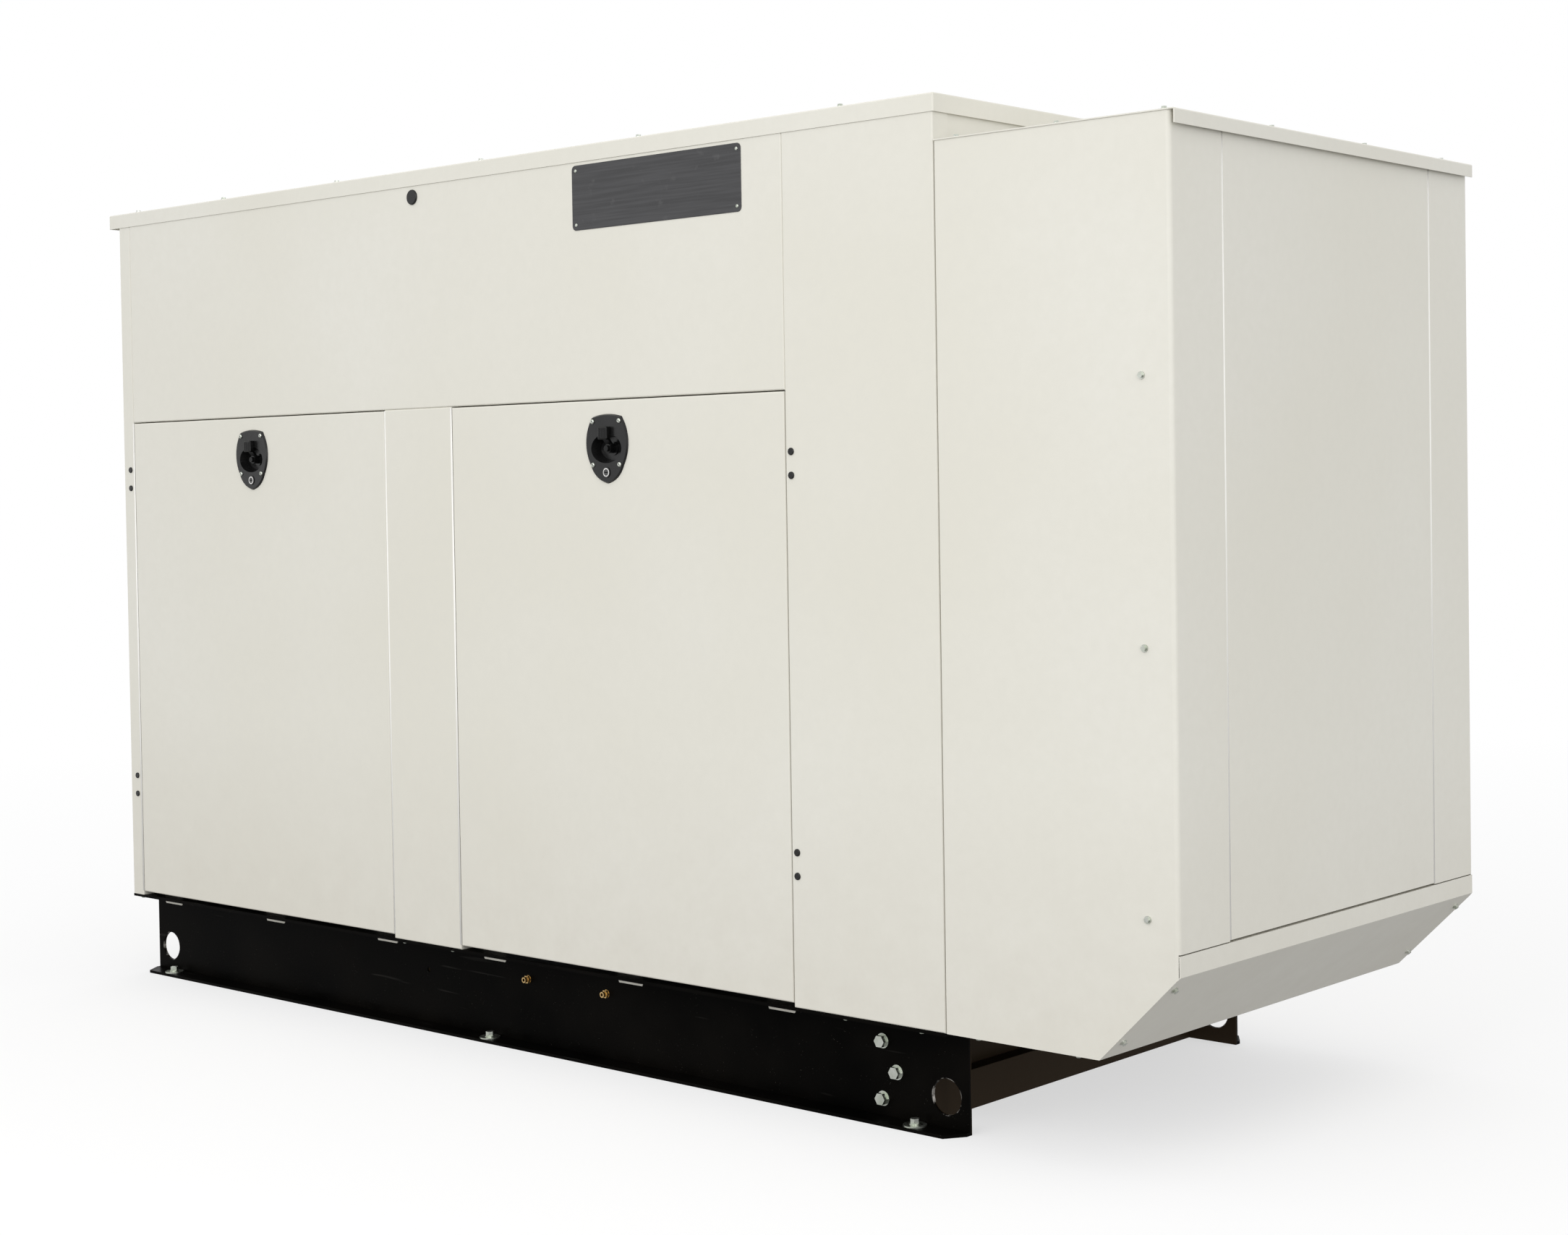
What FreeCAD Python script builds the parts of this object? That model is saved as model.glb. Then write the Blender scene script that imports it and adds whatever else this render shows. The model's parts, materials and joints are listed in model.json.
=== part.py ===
import FreeCAD, Part
import math
import os

from FreeCAD import Vector

# Home standby generator: a sound enclosure on a steel channel skid, with a discharge hood at +X.
# Lengths are millimetres.  X runs along the skid, -Y is the front, +Z is up.
# The model is drawn from the left end of the skid rails and exported about the middle of its footprint.

# ---- driving dimensions -----------------------------------------------------------------------
SHEET = 2.0                  # enclosure sheet thickness
BEND = 3.0                   # outside radius of a sheet bend
FOLD_R = 1.9                 # the tighter bend of a folded-back edge
PAN_BEND = 4.5               # the easier bend of the hood's end panel
SEAM = 0.6                   # gap between the sheets of the hood's end
GAP = 2.0                    # gap round a door
FIT = 0.05                   # radial clearance of a running fit
SCREW_R = 2.5

# skid
RAIL_LENGTH = 2356.0
RAIL_HEIGHT = 183.0
RAIL_THICK = 6.0
RAIL_WEB_Y = 417.0           # outer face of a rail web
RAIL_FOOT_Y = 460.0          # outer edge of the lower flange
RAIL_TOP_Y = 481.0           # outer edge of the upper flange
FOOT_CLIP_X = 24.0           # clipped corners of the lower flange
FOOT_CLIP_Y = RAIL_WEB_Y + 8.0
LIFT_HOLE_R = 31.0
LIFT_HOLE_INSET = 48.0
LIFT_HOLE_Z = 58.0
ANCHOR_X = (90.0, 1173.0, 2256.0)
ANCHOR_Y = 439.0
ANCHOR_HOLE_R = 5.5
WASHER_R = 20.5
WASHER_THICK = 2.5
FRAME_BOLTS = ((2170.0, 134.0), (2201.0, 84.0), (2170.0, 35.0))
FRAME_BOLT_R = 6.0
DRAINS = ((1264.0, 129.0), (1485.0, 128.0))
DRAIN_R = 8.0
DRAIN_BORE_R = 3.0
DRAIN_HEX = 5.0              # thickness of the hexagon
DRAIN_NIPPLE = 7.0
DRAIN_TAIL = 30.0            # length behind the rail web
SPARE_HOLE = (962.0, 112.0)
SPARE_HOLE_R = 5.0
CROSS_X = (180.0, 400.0, 700.0, 1600.0)
CROSS_WIDTH = 80.0
CROSS_Z0 = 50.0
CROSS_Z1 = 170.0
CROSS_THICK = 6.0
END_STEP_X = (2213.0, 2250.0, 2330.0)    # upright, lower upright and shelf edge of the end plate
END_STEP_Z = (68.0, 172.0)
END_EAR_X = 2146.0

# enclosure
WALL_Y = 482.0               # outer face of the enclosure walls
WALL_X0 = 1.0
WALL_X1 = 2358.5
ROOF_Z = 1721.0
ROOF_LIP = 31.0
ROOF_X0 = -35.0
ROOF_X1 = 2362.0
ROOF_Y = WALL_Y + SHEET
WALL_TOP = ROOF_Z - SHEET
POST_X1 = 41.0               # inner edge of the left corner post
POST_DEPTH = 60.0
MID_X0 = 936.0               # centre post
MID_X1 = 1142.0
FIXED_X0 = 2025.0            # fixed panel beside the hood
FIXED_DEPTH = 40.0
SPLIT_Z = 1250.0             # joint between the doors and the upper panel
PANEL_DEPTH = 34.0
PANEL_LIP = 16.0
POST_SCREW_X = (22.0, 955.0, 1104.0, 2133.0, 2300.0)
POST_SCREW_Y = 470.0
POST_PLUG_X = 27.0
PANEL_PLUG_X = 2038.0
PLUG_Z = (1144.0, 1103.0, 453.0, 412.0)
PLUG_R = 4.5
PORT_PLUG = (1037.0, 1668.0)
PORT_PLUG_R = 12.0
LOUVRE_ROWS = 18
LOUVRE_PITCH = 60.0
LOUVRE_Z0 = 330.0
LOUVRE_Y = (-282.0, 0.0, 282.0)
LOUVRE_WIDTH = 220.0
LOUVRE_REACH = 11.0
LOUVRE_RISE = 24.0
LOUVRE_SLOT = 16.0
ROOF_SCREW_X = (60.0, 385.0, 780.0, 1230.0, 1665.0, 2150.0)
HOOD_SCREW_ROOF_X = (2397.0, 2597.0, 2797.0)
ROOF_SCREW_Y = 469.0
HOOD_END_SCREW_X = 2807.0
HOOD_END_SCREW_Y = (-175.0, 125.0, 400.0)

# doors
DOOR_BOTTOM = 191.0
DOOR_TOP = SPLIT_Z - GAP
DOOR_DEPTH = 36.0
DOOR_LIP = 22.0
TAB_PITCH = 381.0
TAB_LENGTH = 66.0
TAB_TAPER = 3.0
TAB_Y = 447.0
TAB_BOTTOM = 163.5

# hood
HOOD_X0 = 2362.0
HOOD_X1 = 2815.0
HOOD_ROOF_X1 = 2825.0
HOOD_TOP = 1644.0
HOOD_LIP = 23.0
CHAMFER_X = 2665.0           # where the sloping scoop meets the bottom edge
CHAMFER_Z = 329.0            # where the sloping scoop meets the end face
CHAMFER_RISE = (CHAMFER_Z - RAIL_HEIGHT) / (HOOD_X1 - CHAMFER_X)
SCOOP_TOP = 362.0
END_GAP = 4.0                # open slot between the end panel and the scoop's upright band
END_FOLD_Y = 337.0
CORNER_R = 8.0
HOOD_FLANGE = 20.0
HOOD_SCREW_X = 2759.0
HOOD_SCREW_Z = (1245.0, 829.0, 413.0)
HOOD_FOOT_SCREW_X = (2420.0, 2619.0)
HOOD_FOOT_SCREW_Y = 472.0
SCOOP_SCREW_X = (2695.0, 2791.0)
SCOOP_SCREW_Y = 460.0

# latches
LATCH_Z = 1159.0
LOCK_DROP = 44.0
LOCK_R = 8.0
HUB_R = 8.5
STEM_R = 5.0
PLATE_THICK = 4.0
PLATE_EDGE = 2.0             # how far the plate's face is inset from its foot
BOWL_HALF_X = 42.0
BOWL_HALF_Z = 29.0
BOWL_DEPTH = 20.0
CAM_LENGTH = 108.0
LATCH_SCREWS = ((-35.0, 50.0), (35.0, 50.0), (-35.0, -30.0), (35.0, -30.0))

# engine and generator
CRANK_Z = 470.0
SHAFT_R = 30.0
FAN_Z = 760.0
FAN_X = 2095.0
FAN_R = 300.0
FAN_SHAFT_R = 16.0
ENGINE_X0 = 1180.0
ENGINE_X1 = 1780.0
ENGINE_HALF = 135.0
PAN_Z = (250.0, 360.0)
BLOCK_TOP = 680.0
HEAD_TOP = 790.0
COVER_TOP = 860.0
BORE_X = tuple(ENGINE_X0 + 90.0 + i * 135.0 for i in range(4))
PORT_X = tuple(ENGINE_X0 + 105.0 + i * 130.0 for i in range(4))
PORT_Z = 745.0
WATER_OUT_Z = 780.0
WATER_IN_Z = 704.0
GENERATOR_X0 = 560.0
GENERATOR_R = 195.0
GENERATOR_LENGTH = 500.0
ROTOR_R = 150.0
MOUNT_X = (700.0, 1600.0)
MOUNT_Y = 235.0
MOUNT_TOP = 230.0
PULLEY_X = ENGINE_X1 + 22.0
PULLEY_WIDTH = 36.0
GROOVE_WIDTH = 16.0
CRANK_PULLEY_R = 75.0
CRANK_GROOVE_R = 64.0
FAN_PULLEY_R = 62.0
FAN_GROOVE_R = 52.0
BELT_THICK = 8.0
BELT_CLEAR = 0.5
INTAKE_Y = -240.0
INTAKE_Z = 800.0
EXHAUST_Y = 300.0
EXHAUST_Z = 1420.0
PIPE_R = 27.0
MUFFLER_X = 2590.0
MUFFLER_R = 115.0
MUFFLER_Y = (-330.0, 370.0)

# cooling
RADIATOR_HALF = 400.0
RADIATOR_Z0 = 300.0
RADIATOR_Z1 = 1330.0
RADIATOR_DEPTH = 90.0
RADIATOR_X1 = WALL_X1 - 2 * SHEET
RADIATOR_X0 = RADIATOR_X1 - RADIATOR_DEPTH
TUBE_PITCH = 20.0
HOSE_R = 26.0
HOSE_BORE_R = 22.5
STUB_R = 22.0
STUB_LENGTH = 52.0
STUB_Y = 200.0
SHROUD_X0 = 2060.0
SHROUD_X1 = RADIATOR_X0
SHROUD_HALF = 372.0

# electrics
BATTERY = (150.0, 410.0, -385.0, -212.0, 170.0, 385.0)
CONTROL = (250.0, 760.0, -385.0, -215.0, 860.0, 1220.0)
STOP_AT = (650.0, 1130.0)
MODE_AT = (520.0, 1130.0)
BREAKER_AT = (360.0, 985.0)
BREAKER_PIN_R = 4.0
BREAKER_REST = -35.0         # degrees
BUTTON_R = 11.0

ORIGIN_X = (ROOF_X0 + HOOD_ROOF_X1) / 2.0

DOORS = {
    "front_left": (POST_X1 + GAP, MID_X0 - GAP, -1),
    "front_right": (MID_X1 + GAP, FIXED_X0 - GAP, -1),
    "rear_left": (POST_X1 + GAP, MID_X0 - GAP, 1),
    "rear_right": (MID_X1 + GAP, FIXED_X0 - GAP, 1),
}


# ---- shape helpers ----------------------------------------------------------------------------
def box(x0, x1, y0, y1, z0, z1):
    """A block between two corners."""
    return Part.makeBox(x1 - x0, y1 - y0, z1 - z0, Vector(x0, y0, z0))


def rod(start, direction, radius, length):
    """A cylinder from a point along a direction."""
    return Part.makeCylinder(radius, length, Vector(*start), Vector(*direction))


def pipe(points, radius):
    """A round bar along straight runs, with a ball at each corner."""
    corners = [Vector(*point) for point in points]
    runs = [Part.makeCylinder(radius, (b - a).Length, a, b - a) for a, b in zip(corners, corners[1:])]
    balls = [Part.makeSphere(radius, corner) for corner in corners[1:-1]]
    return fuse(runs[0], *(runs[1:] + balls))


def fuse(first, *others):
    """One solid from several that touch or overlap."""
    return first.fuse(list(others)).removeSplitter() if others else first


def prism(points, direction):
    """A closed outline of straight edges, pushed along a direction."""
    corners = [Vector(*point) for point in points]
    outline = Part.makePolygon(corners + corners[:1])
    return Part.Face(outline).extrude(Vector(*direction))


def hexagon(centre, direction, across_flats, height):
    """A hexagonal block whose base is centred on a point."""
    corner_r = across_flats / math.sqrt(3.0)
    ring = [Vector(corner_r * math.cos(a), corner_r * math.sin(a), 0)
            for a in (math.radians(60 * i) for i in range(6))]
    block = Part.Face(Part.makePolygon(ring + ring[:1])).extrude(Vector(0, 0, height))
    turn = FreeCAD.Rotation(Vector(0, 0, 1), Vector(*direction))
    block.Placement = FreeCAD.Placement(Vector(*centre), turn)
    return block


def along(point, direction, distance):
    """The point a distance away in a direction."""
    return tuple(p + d * distance for p, d in zip(point, direction))


def rear(shape):
    """The same piece on the rear side."""
    return shape.mirror(Vector(0, 0, 0), Vector(0, 1, 0))


def on_side(shape, side):
    """A piece drawn for the front, kept or moved to the rear."""
    return shape if side < 0 else rear(shape)


def both_sides(shapes):
    """Front pieces and their rear copies."""
    return list(shapes) + [rear(shape) for shape in shapes]


def edges_at(shape, axis, value):
    """Edges that lie wholly in one plane."""
    def flat(edge):
        low = getattr(edge.BoundBox, axis + "Min")
        high = getattr(edge.BoundBox, axis + "Max")
        return abs(low - value) < 1e-4 and abs(high - value) < 1e-4
    return [edge for edge in shape.Edges if flat(edge)]


def long_edges(shape, axis, shortest):
    """Straight edges that run along one axis."""
    return [edge for edge in shape.Edges
            if getattr(edge.BoundBox, axis + "Length") > shortest
            and abs(getattr(edge.BoundBox, axis + "Length") - edge.Length) < 1e-4]


def front_pan(x0, x1, z0, z1, depth, lip):
    """A folded sheet tray in the front wall, open to the inside, with a lip round its back."""
    y0 = -WALL_Y
    y1 = y0 + depth
    tray = box(x0, x1, y0, y1, z0, z1)
    tray = tray.makeFillet(BEND, edges_at(tray, "Y", y0))
    hollow = box(x0 + SHEET, x1 - SHEET, y0 + SHEET, y1 - SHEET, z0 + SHEET, z1 - SHEET)
    window = box(x0 + lip, x1 - lip, y1 - SHEET - 1, y1 + 1, z0 + lip, z1 - lip)
    return tray.cut([hollow, window])


def hex_bolt(seat, out, across_flats, head, flange_r, shank_r, shank):
    """A flanged hex bolt: its seat is the face under the flange, and out points away from it."""
    flange = 2.0
    body = rod(along(seat, out, -shank), out, shank_r, shank)
    return fuse(body, rod(seat, out, flange_r, flange),
                hexagon(along(seat, out, flange), out, across_flats, head))


def pan_screw(seat, out, head_r, head, shank_r, shank):
    """A low round-headed screw."""
    body = rod(along(seat, out, -shank), out, shank_r, shank + head / 2)
    cap = rod(seat, out, head_r, head)
    tip = along(seat, out, head)
    rim = [e for e in cap.Edges
           if all(abs((v.Point - Vector(*tip)).dot(Vector(*out))) < 1e-6 for v in e.Vertexes)
           and e.Closed and e.Length > head_r]
    cap = cap.makeFillet(head * 0.6, rim[:1])
    return fuse(cap, body)


# ---- skid -------------------------------------------------------------------------------------
def base_rail(side):
    """A folded channel with its flanges outward; the front one carries the drain holes."""
    web_in = -RAIL_WEB_Y + RAIL_THICK
    web = box(0, RAIL_LENGTH, -RAIL_WEB_Y, web_in, 0, RAIL_HEIGHT)
    top = box(0, RAIL_LENGTH, -RAIL_TOP_Y, web_in, RAIL_HEIGHT - RAIL_THICK, RAIL_HEIGHT)
    foot = prism([(FOOT_CLIP_X, -RAIL_FOOT_Y, 0), (RAIL_LENGTH - FOOT_CLIP_X, -RAIL_FOOT_Y, 0),
                  (RAIL_LENGTH, -FOOT_CLIP_Y, 0), (RAIL_LENGTH, web_in, 0),
                  (0, web_in, 0), (0, -FOOT_CLIP_Y, 0)], (0, 0, RAIL_THICK))
    rail = fuse(web, top, foot)
    cuts = []
    for x in (LIFT_HOLE_INSET, RAIL_LENGTH - LIFT_HOLE_INSET):
        cuts.append(rod((x, -RAIL_WEB_Y - 1, LIFT_HOLE_Z), (0, 1, 0), LIFT_HOLE_R, RAIL_THICK + 2))
    for x in ANCHOR_X:
        cuts.append(rod((x, -ANCHOR_Y, -1), (0, 0, 1), ANCHOR_HOLE_R, RAIL_THICK + 2))
    for x, z in FRAME_BOLTS:
        cuts.append(rod((x, -RAIL_WEB_Y - 1, z), (0, 1, 0), FRAME_BOLT_R, RAIL_THICK + 2))
    for x in tab_centres():
        half = TAB_LENGTH / 2 + 3
        cuts.append(box(x - half, x + half, -TAB_Y - 6, -TAB_Y + 11, RAIL_HEIGHT - RAIL_THICK - 1,
                        RAIL_HEIGHT + 1))
    for x in POST_SCREW_X:
        cuts.append(rod((x, -POST_SCREW_Y, RAIL_HEIGHT - RAIL_THICK - 1), (0, 0, 1), SCREW_R,
                        RAIL_THICK + 2))
    if side < 0:
        for x, z in DRAINS:
            cuts.append(rod((x, -RAIL_WEB_Y - 1, z), (0, 1, 0), DRAIN_R, RAIL_THICK + 2))
        x, z = SPARE_HOLE
        cuts.append(rod((x, -RAIL_WEB_Y - 1, z), (0, 1, 0), SPARE_HOLE_R, RAIL_THICK + 2))
    return on_side(rail.cut(cuts), side)


def tab_centres():
    """X of each door's three tabs, front row."""
    left = (POST_X1 + MID_X0) / 2
    right = (MID_X1 + FIXED_X0) / 2
    return [centre + step * TAB_PITCH for centre in (left, right) for step in (-1, 0, 1)]


def cross_members():
    """Four channels between the rails, open side down, under the battery and the engine."""
    inner = RAIL_WEB_Y - RAIL_THICK
    solids = []
    for x in CROSS_X:
        x0 = x - CROSS_WIDTH / 2
        x1 = x + CROSS_WIDTH / 2
        beam = box(x0, x1, -inner, inner, CROSS_Z0, CROSS_Z1)
        solids.append(beam.cut(box(x0 + CROSS_THICK, x1 - CROSS_THICK, -inner - 1, inner + 1,
                                   CROSS_Z0 - 1, CROSS_Z1 - CROSS_THICK)))
    return Part.makeCompound(solids)


def cross_member_discharge():
    """The stepped plate that ties the rails at the hood end, with a bolting plate at each end."""
    inner = RAIL_WEB_Y - RAIL_THICK
    back, front, edge = END_STEP_X
    step_z, top = END_STEP_Z
    thick = RAIL_THICK
    low = box(front - thick, front, -inner, inner, 0, step_z)
    step = box(back, front, -inner, inner, step_z - thick, step_z)
    high = box(back, back + thick, -inner, inner, step_z - thick, top)
    shelf = box(back, edge, -inner, inner, top - thick, top)
    ear = box(END_EAR_X, back + thick, -inner, -inner + thick, 12, 160)
    plate = fuse(low, step, high, shelf, ear, rear(ear))
    holes = [rod((x, -inner - 1, z), (0, 1, 0), FRAME_BOLT_R, 9) for x, z in FRAME_BOLTS]
    return plate.cut(both_sides(holes))


def frame_bolts():
    """Flanged hex bolts through the rail webs into the discharge cross member."""
    bolts = [hex_bolt((x, -RAIL_WEB_Y, z), (0, -1, 0), 19.0, 10.0, 13.0, FRAME_BOLT_R, 2 * RAIL_THICK + 5)
             for x, z in FRAME_BOLTS]
    return Part.makeCompound(both_sides(bolts))


def anchor_bolts():
    """Hex bolts and wide washers in the feet of the rails."""
    solids = []
    for x in ANCHOR_X:
        disc = rod((x, -ANCHOR_Y, RAIL_THICK), (0, 0, 1), WASHER_R, WASHER_THICK)
        hole = rod((x, -ANCHOR_Y, 0), (0, 0, 1), ANCHOR_HOLE_R, 20)
        solids.append(disc.cut(hole))
        solids.append(hex_bolt((x, -ANCHOR_Y, RAIL_THICK + WASHER_THICK), (0, 0, 1), 14.0, 8.0, 9.5,
                               ANCHOR_HOLE_R, RAIL_THICK + WASHER_THICK))
    return Part.makeCompound(both_sides(solids))


def drain_fittings():
    """Brass drain connections for oil and coolant, through the front rail."""
    solids = []
    for x, z in DRAINS:
        seat = (x, -RAIL_WEB_Y, z)
        body = fuse(hexagon(seat, (0, -1, 0), 2 * DRAIN_R - 2, DRAIN_HEX),
                    rod(along(seat, (0, -1, 0), DRAIN_HEX), (0, -1, 0), DRAIN_BORE_R + 2.5, DRAIN_NIPPLE),
                    rod(along(seat, (0, 1, 0), DRAIN_TAIL), (0, -1, 0), DRAIN_R, DRAIN_TAIL))
        reach = DRAIN_HEX + DRAIN_NIPPLE
        solids.append(body.cut(rod(along(seat, (0, -1, 0), reach), (0, 1, 0), DRAIN_BORE_R,
                                   reach + DRAIN_TAIL)))
    return Part.makeCompound(solids)


# ---- enclosure --------------------------------------------------------------------------------
def corner_post(side):
    """The narrow post at the intake end, folded round the corner."""
    y0 = -WALL_Y
    face = box(WALL_X0, POST_X1, y0, y0 + POST_DEPTH, RAIL_HEIGHT, WALL_TOP)
    face = face.makeFillet(BEND, [e for e in long_edges(face, "Z", 100)
                                  if e.BoundBox.YMax < y0 + 1])
    hollow = box(WALL_X0 + SHEET, POST_X1 - SHEET, y0 + SHEET, y0 + POST_DEPTH + 1, RAIL_HEIGHT + SHEET,
                 WALL_TOP - SHEET)
    short = box(POST_X1 - SHEET - 1, POST_X1 + 1, y0 + PANEL_DEPTH, y0 + POST_DEPTH + 1, RAIL_HEIGHT - 1,
                WALL_TOP + 1)
    hole = rod((POST_SCREW_X[0], -POST_SCREW_Y, RAIL_HEIGHT - 1), (0, 0, 1), SCREW_R, SHEET + 2)
    return on_side(face.cut([hollow, short, hole] + plug_holes(POST_PLUG_X)), side)


def plug_holes(x):
    """The four punched holes down one edge, closed by plugs."""
    return [rod((x, -WALL_Y - 1, z), (0, 1, 0), PLUG_R, SHEET + 2) for z in PLUG_Z]


def centre_post(side):
    """The fixed panel between the two doors."""
    pan = front_pan(MID_X0, MID_X1, RAIL_HEIGHT, SPLIT_Z, PANEL_DEPTH, PANEL_LIP)
    holes = [rod((x, -POST_SCREW_Y, RAIL_HEIGHT - 1), (0, 0, 1), SCREW_R, SHEET + 2)
             for x in POST_SCREW_X[1:3]]
    return on_side(pan.cut(holes), side)


def upper_panel(side):
    """The fixed panel above both doors."""
    pan = front_pan(POST_X1, FIXED_X0, SPLIT_Z, WALL_TOP, PANEL_DEPTH, PANEL_LIP)
    x, z = PORT_PLUG
    return on_side(pan.cut(rod((x, -WALL_Y - 1, z), (0, 1, 0), PORT_PLUG_R, SHEET + 2)), side)


def side_panel(side):
    """The full-height fixed panel next to the hood."""
    pan = front_pan(FIXED_X0, WALL_X1, RAIL_HEIGHT, WALL_TOP, FIXED_DEPTH, PANEL_LIP)
    holes = [rod((x, -POST_SCREW_Y, RAIL_HEIGHT - 1), (0, 0, 1), SCREW_R, SHEET + 2)
             for x in POST_SCREW_X[3:]]
    return on_side(pan.cut(plug_holes(PANEL_PLUG_X) + holes), side)


def intake_end_panel():
    """The end wall that takes in air, with three columns of pressed louvres."""
    y1 = WALL_Y - POST_DEPTH
    pan = box(WALL_X0, WALL_X0 + 30, -y1, y1, RAIL_HEIGHT, WALL_TOP)
    pan = pan.cut(box(WALL_X0 + SHEET, WALL_X0 + 31, -y1 + SHEET, y1 - SHEET, RAIL_HEIGHT + SHEET,
                      WALL_TOP - SHEET))
    slots = []
    hoods = []
    for row in range(LOUVRE_ROWS):
        z = LOUVRE_Z0 + row * LOUVRE_PITCH
        for y in LOUVRE_Y:
            y0 = y - LOUVRE_WIDTH / 2
            slots.append(box(WALL_X0 - 1, WALL_X0 + SHEET + 1, y0 + 4, y0 + LOUVRE_WIDTH - 4, z,
                             z + LOUVRE_SLOT))
            tip = WALL_X0 - LOUVRE_REACH
            top = z + LOUVRE_RISE
            blade = prism([(WALL_X0, y0, top), (tip, y0, z - 2), (tip, y0, z - 5),
                           (WALL_X0, y0, top - 3.5)], (0, LOUVRE_WIDTH, 0))
            cheek = prism([(WALL_X0, y0, top), (tip, y0, z - 5), (WALL_X0, y0, z - 5)], (0, SHEET, 0))
            far = cheek.translated(Vector(0, LOUVRE_WIDTH - SHEET, 0))
            hoods += [blade, cheek, far]
    return pan.cut(slots).fuse(hoods).removeSplitter()


def roof_screws():
    """Where the screws go through the main roof."""
    return [(x, side * ROOF_SCREW_Y) for x in ROOF_SCREW_X for side in (-1, 1)]


def hood_roof_screws():
    """Where the screws go through the hood's roof."""
    edges = [(x, side * ROOF_SCREW_Y) for x in HOOD_SCREW_ROOF_X for side in (-1, 1)]
    return edges + [(HOOD_END_SCREW_X, y) for y in HOOD_END_SCREW_Y]


def main_roof():
    """The roof tray, with a lip that laps over the walls."""
    tray = box(ROOF_X0, ROOF_X1, -ROOF_Y, ROOF_Y, ROOF_Z - ROOF_LIP, ROOF_Z)
    tray = tray.makeFillet(BEND, edges_at(tray, "Z", ROOF_Z) + long_edges(tray, "Z", 5))
    hollow = box(ROOF_X0 + SHEET, ROOF_X1 - SHEET, -ROOF_Y + SHEET, ROOF_Y - SHEET,
                 ROOF_Z - ROOF_LIP - 1, ROOF_Z - SHEET)
    holes = [rod((x, y, ROOF_Z - SHEET - 1), (0, 0, 1), SCREW_R, SHEET + 2) for x, y in roof_screws()]
    return tray.cut([hollow] + holes)


def sheet_screw(seat, out):
    """A hex-headed screw with a flange, for sheet metal."""
    return hex_bolt(seat, out, 8.0, 3.5, 6.0, SCREW_R, SHEET)


def chamfer_point(x):
    """Height of the scoop's lower face at an X."""
    return RAIL_HEIGHT + (x - CHAMFER_X) * CHAMFER_RISE


def panel_screws():
    """The sheet-metal screws of the roofs, the fixed panels' feet and the hood."""
    solids = [sheet_screw((x, y, ROOF_Z), (0, 0, 1)) for x, y in roof_screws()]
    solids += [sheet_screw((x, y, HOOD_TOP), (0, 0, 1)) for x, y in hood_roof_screws()]
    sides = [pan_screw((x, -POST_SCREW_Y, RAIL_HEIGHT - RAIL_THICK), (0, 0, -1), 5.0, 4.0, SCREW_R,
                       RAIL_THICK + SHEET) for x in POST_SCREW_X]
    sides += [sheet_screw((HOOD_SCREW_X, -WALL_Y, z), (0, -1, 0)) for z in HOOD_SCREW_Z]
    sides += [pan_screw((x, -HOOD_FOOT_SCREW_Y, RAIL_HEIGHT), (0, 0, -1), 5.0, 4.0, SCREW_R, SHEET)
              for x in HOOD_FOOT_SCREW_X]
    slant = math.hypot(1.0, CHAMFER_RISE)
    down = (CHAMFER_RISE / slant, 0, -1.0 / slant)
    sides += [sheet_screw((x, -SCOOP_SCREW_Y, chamfer_point(x)), down) for x in SCOOP_SCREW_X]
    return Part.makeCompound(solids + both_sides(sides))


def hole_plugs():
    """Domed plugs in the hinge holes and in the round port under the roof."""
    solids = [pan_screw((x, -WALL_Y, z), (0, -1, 0), 6.5, 2.5, PLUG_R, SHEET + 3)
              for x in (POST_PLUG_X, PANEL_PLUG_X) for z in PLUG_Z]
    x, z = PORT_PLUG
    solids.append(pan_screw((x, -WALL_Y, z), (0, -1, 0), 15.0, 3.5, PORT_PLUG_R, SHEET + 5))
    return Part.makeCompound(both_sides(solids))


def discharge_bulkhead():
    """The end wall between the engine space and the hood, open at the radiator."""
    x1 = WALL_X1 - SHEET
    wall = box(x1 - SHEET, x1, -WALL_Y + SHEET, WALL_Y - SHEET, RAIL_HEIGHT, WALL_TOP)
    window = box(x1 - SHEET - 1, x1 + 1, -RADIATOR_HALF + 30, RADIATOR_HALF - 30, RADIATOR_Z0 + 40,
                 RADIATOR_Z1 - 40)
    outlet = rod((x1 - SHEET - 1, EXHAUST_Y, EXHAUST_Z), (1, 0, 0), PIPE_R + 5, SHEET + 2)
    corners = [box(x1 - SHEET - 1, x1 + 1, side * 442.0 - (side < 0) * 50, side * 442.0 + (side > 0) * 50,
                   RAIL_HEIGHT - 1, WALL_TOP + 1) for side in (-1, 1)]
    return wall.cut([window, outlet] + corners)


# ---- hood -------------------------------------------------------------------------------------
def outer_corner(block):
    """The upright edge at a block's +X, front corner."""
    limits = block.BoundBox
    return [e for e in long_edges(block, "Z", 100)
            if e.BoundBox.YMax < limits.YMin + 0.1 and e.BoundBox.XMin > limits.XMax - 0.1]


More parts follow.
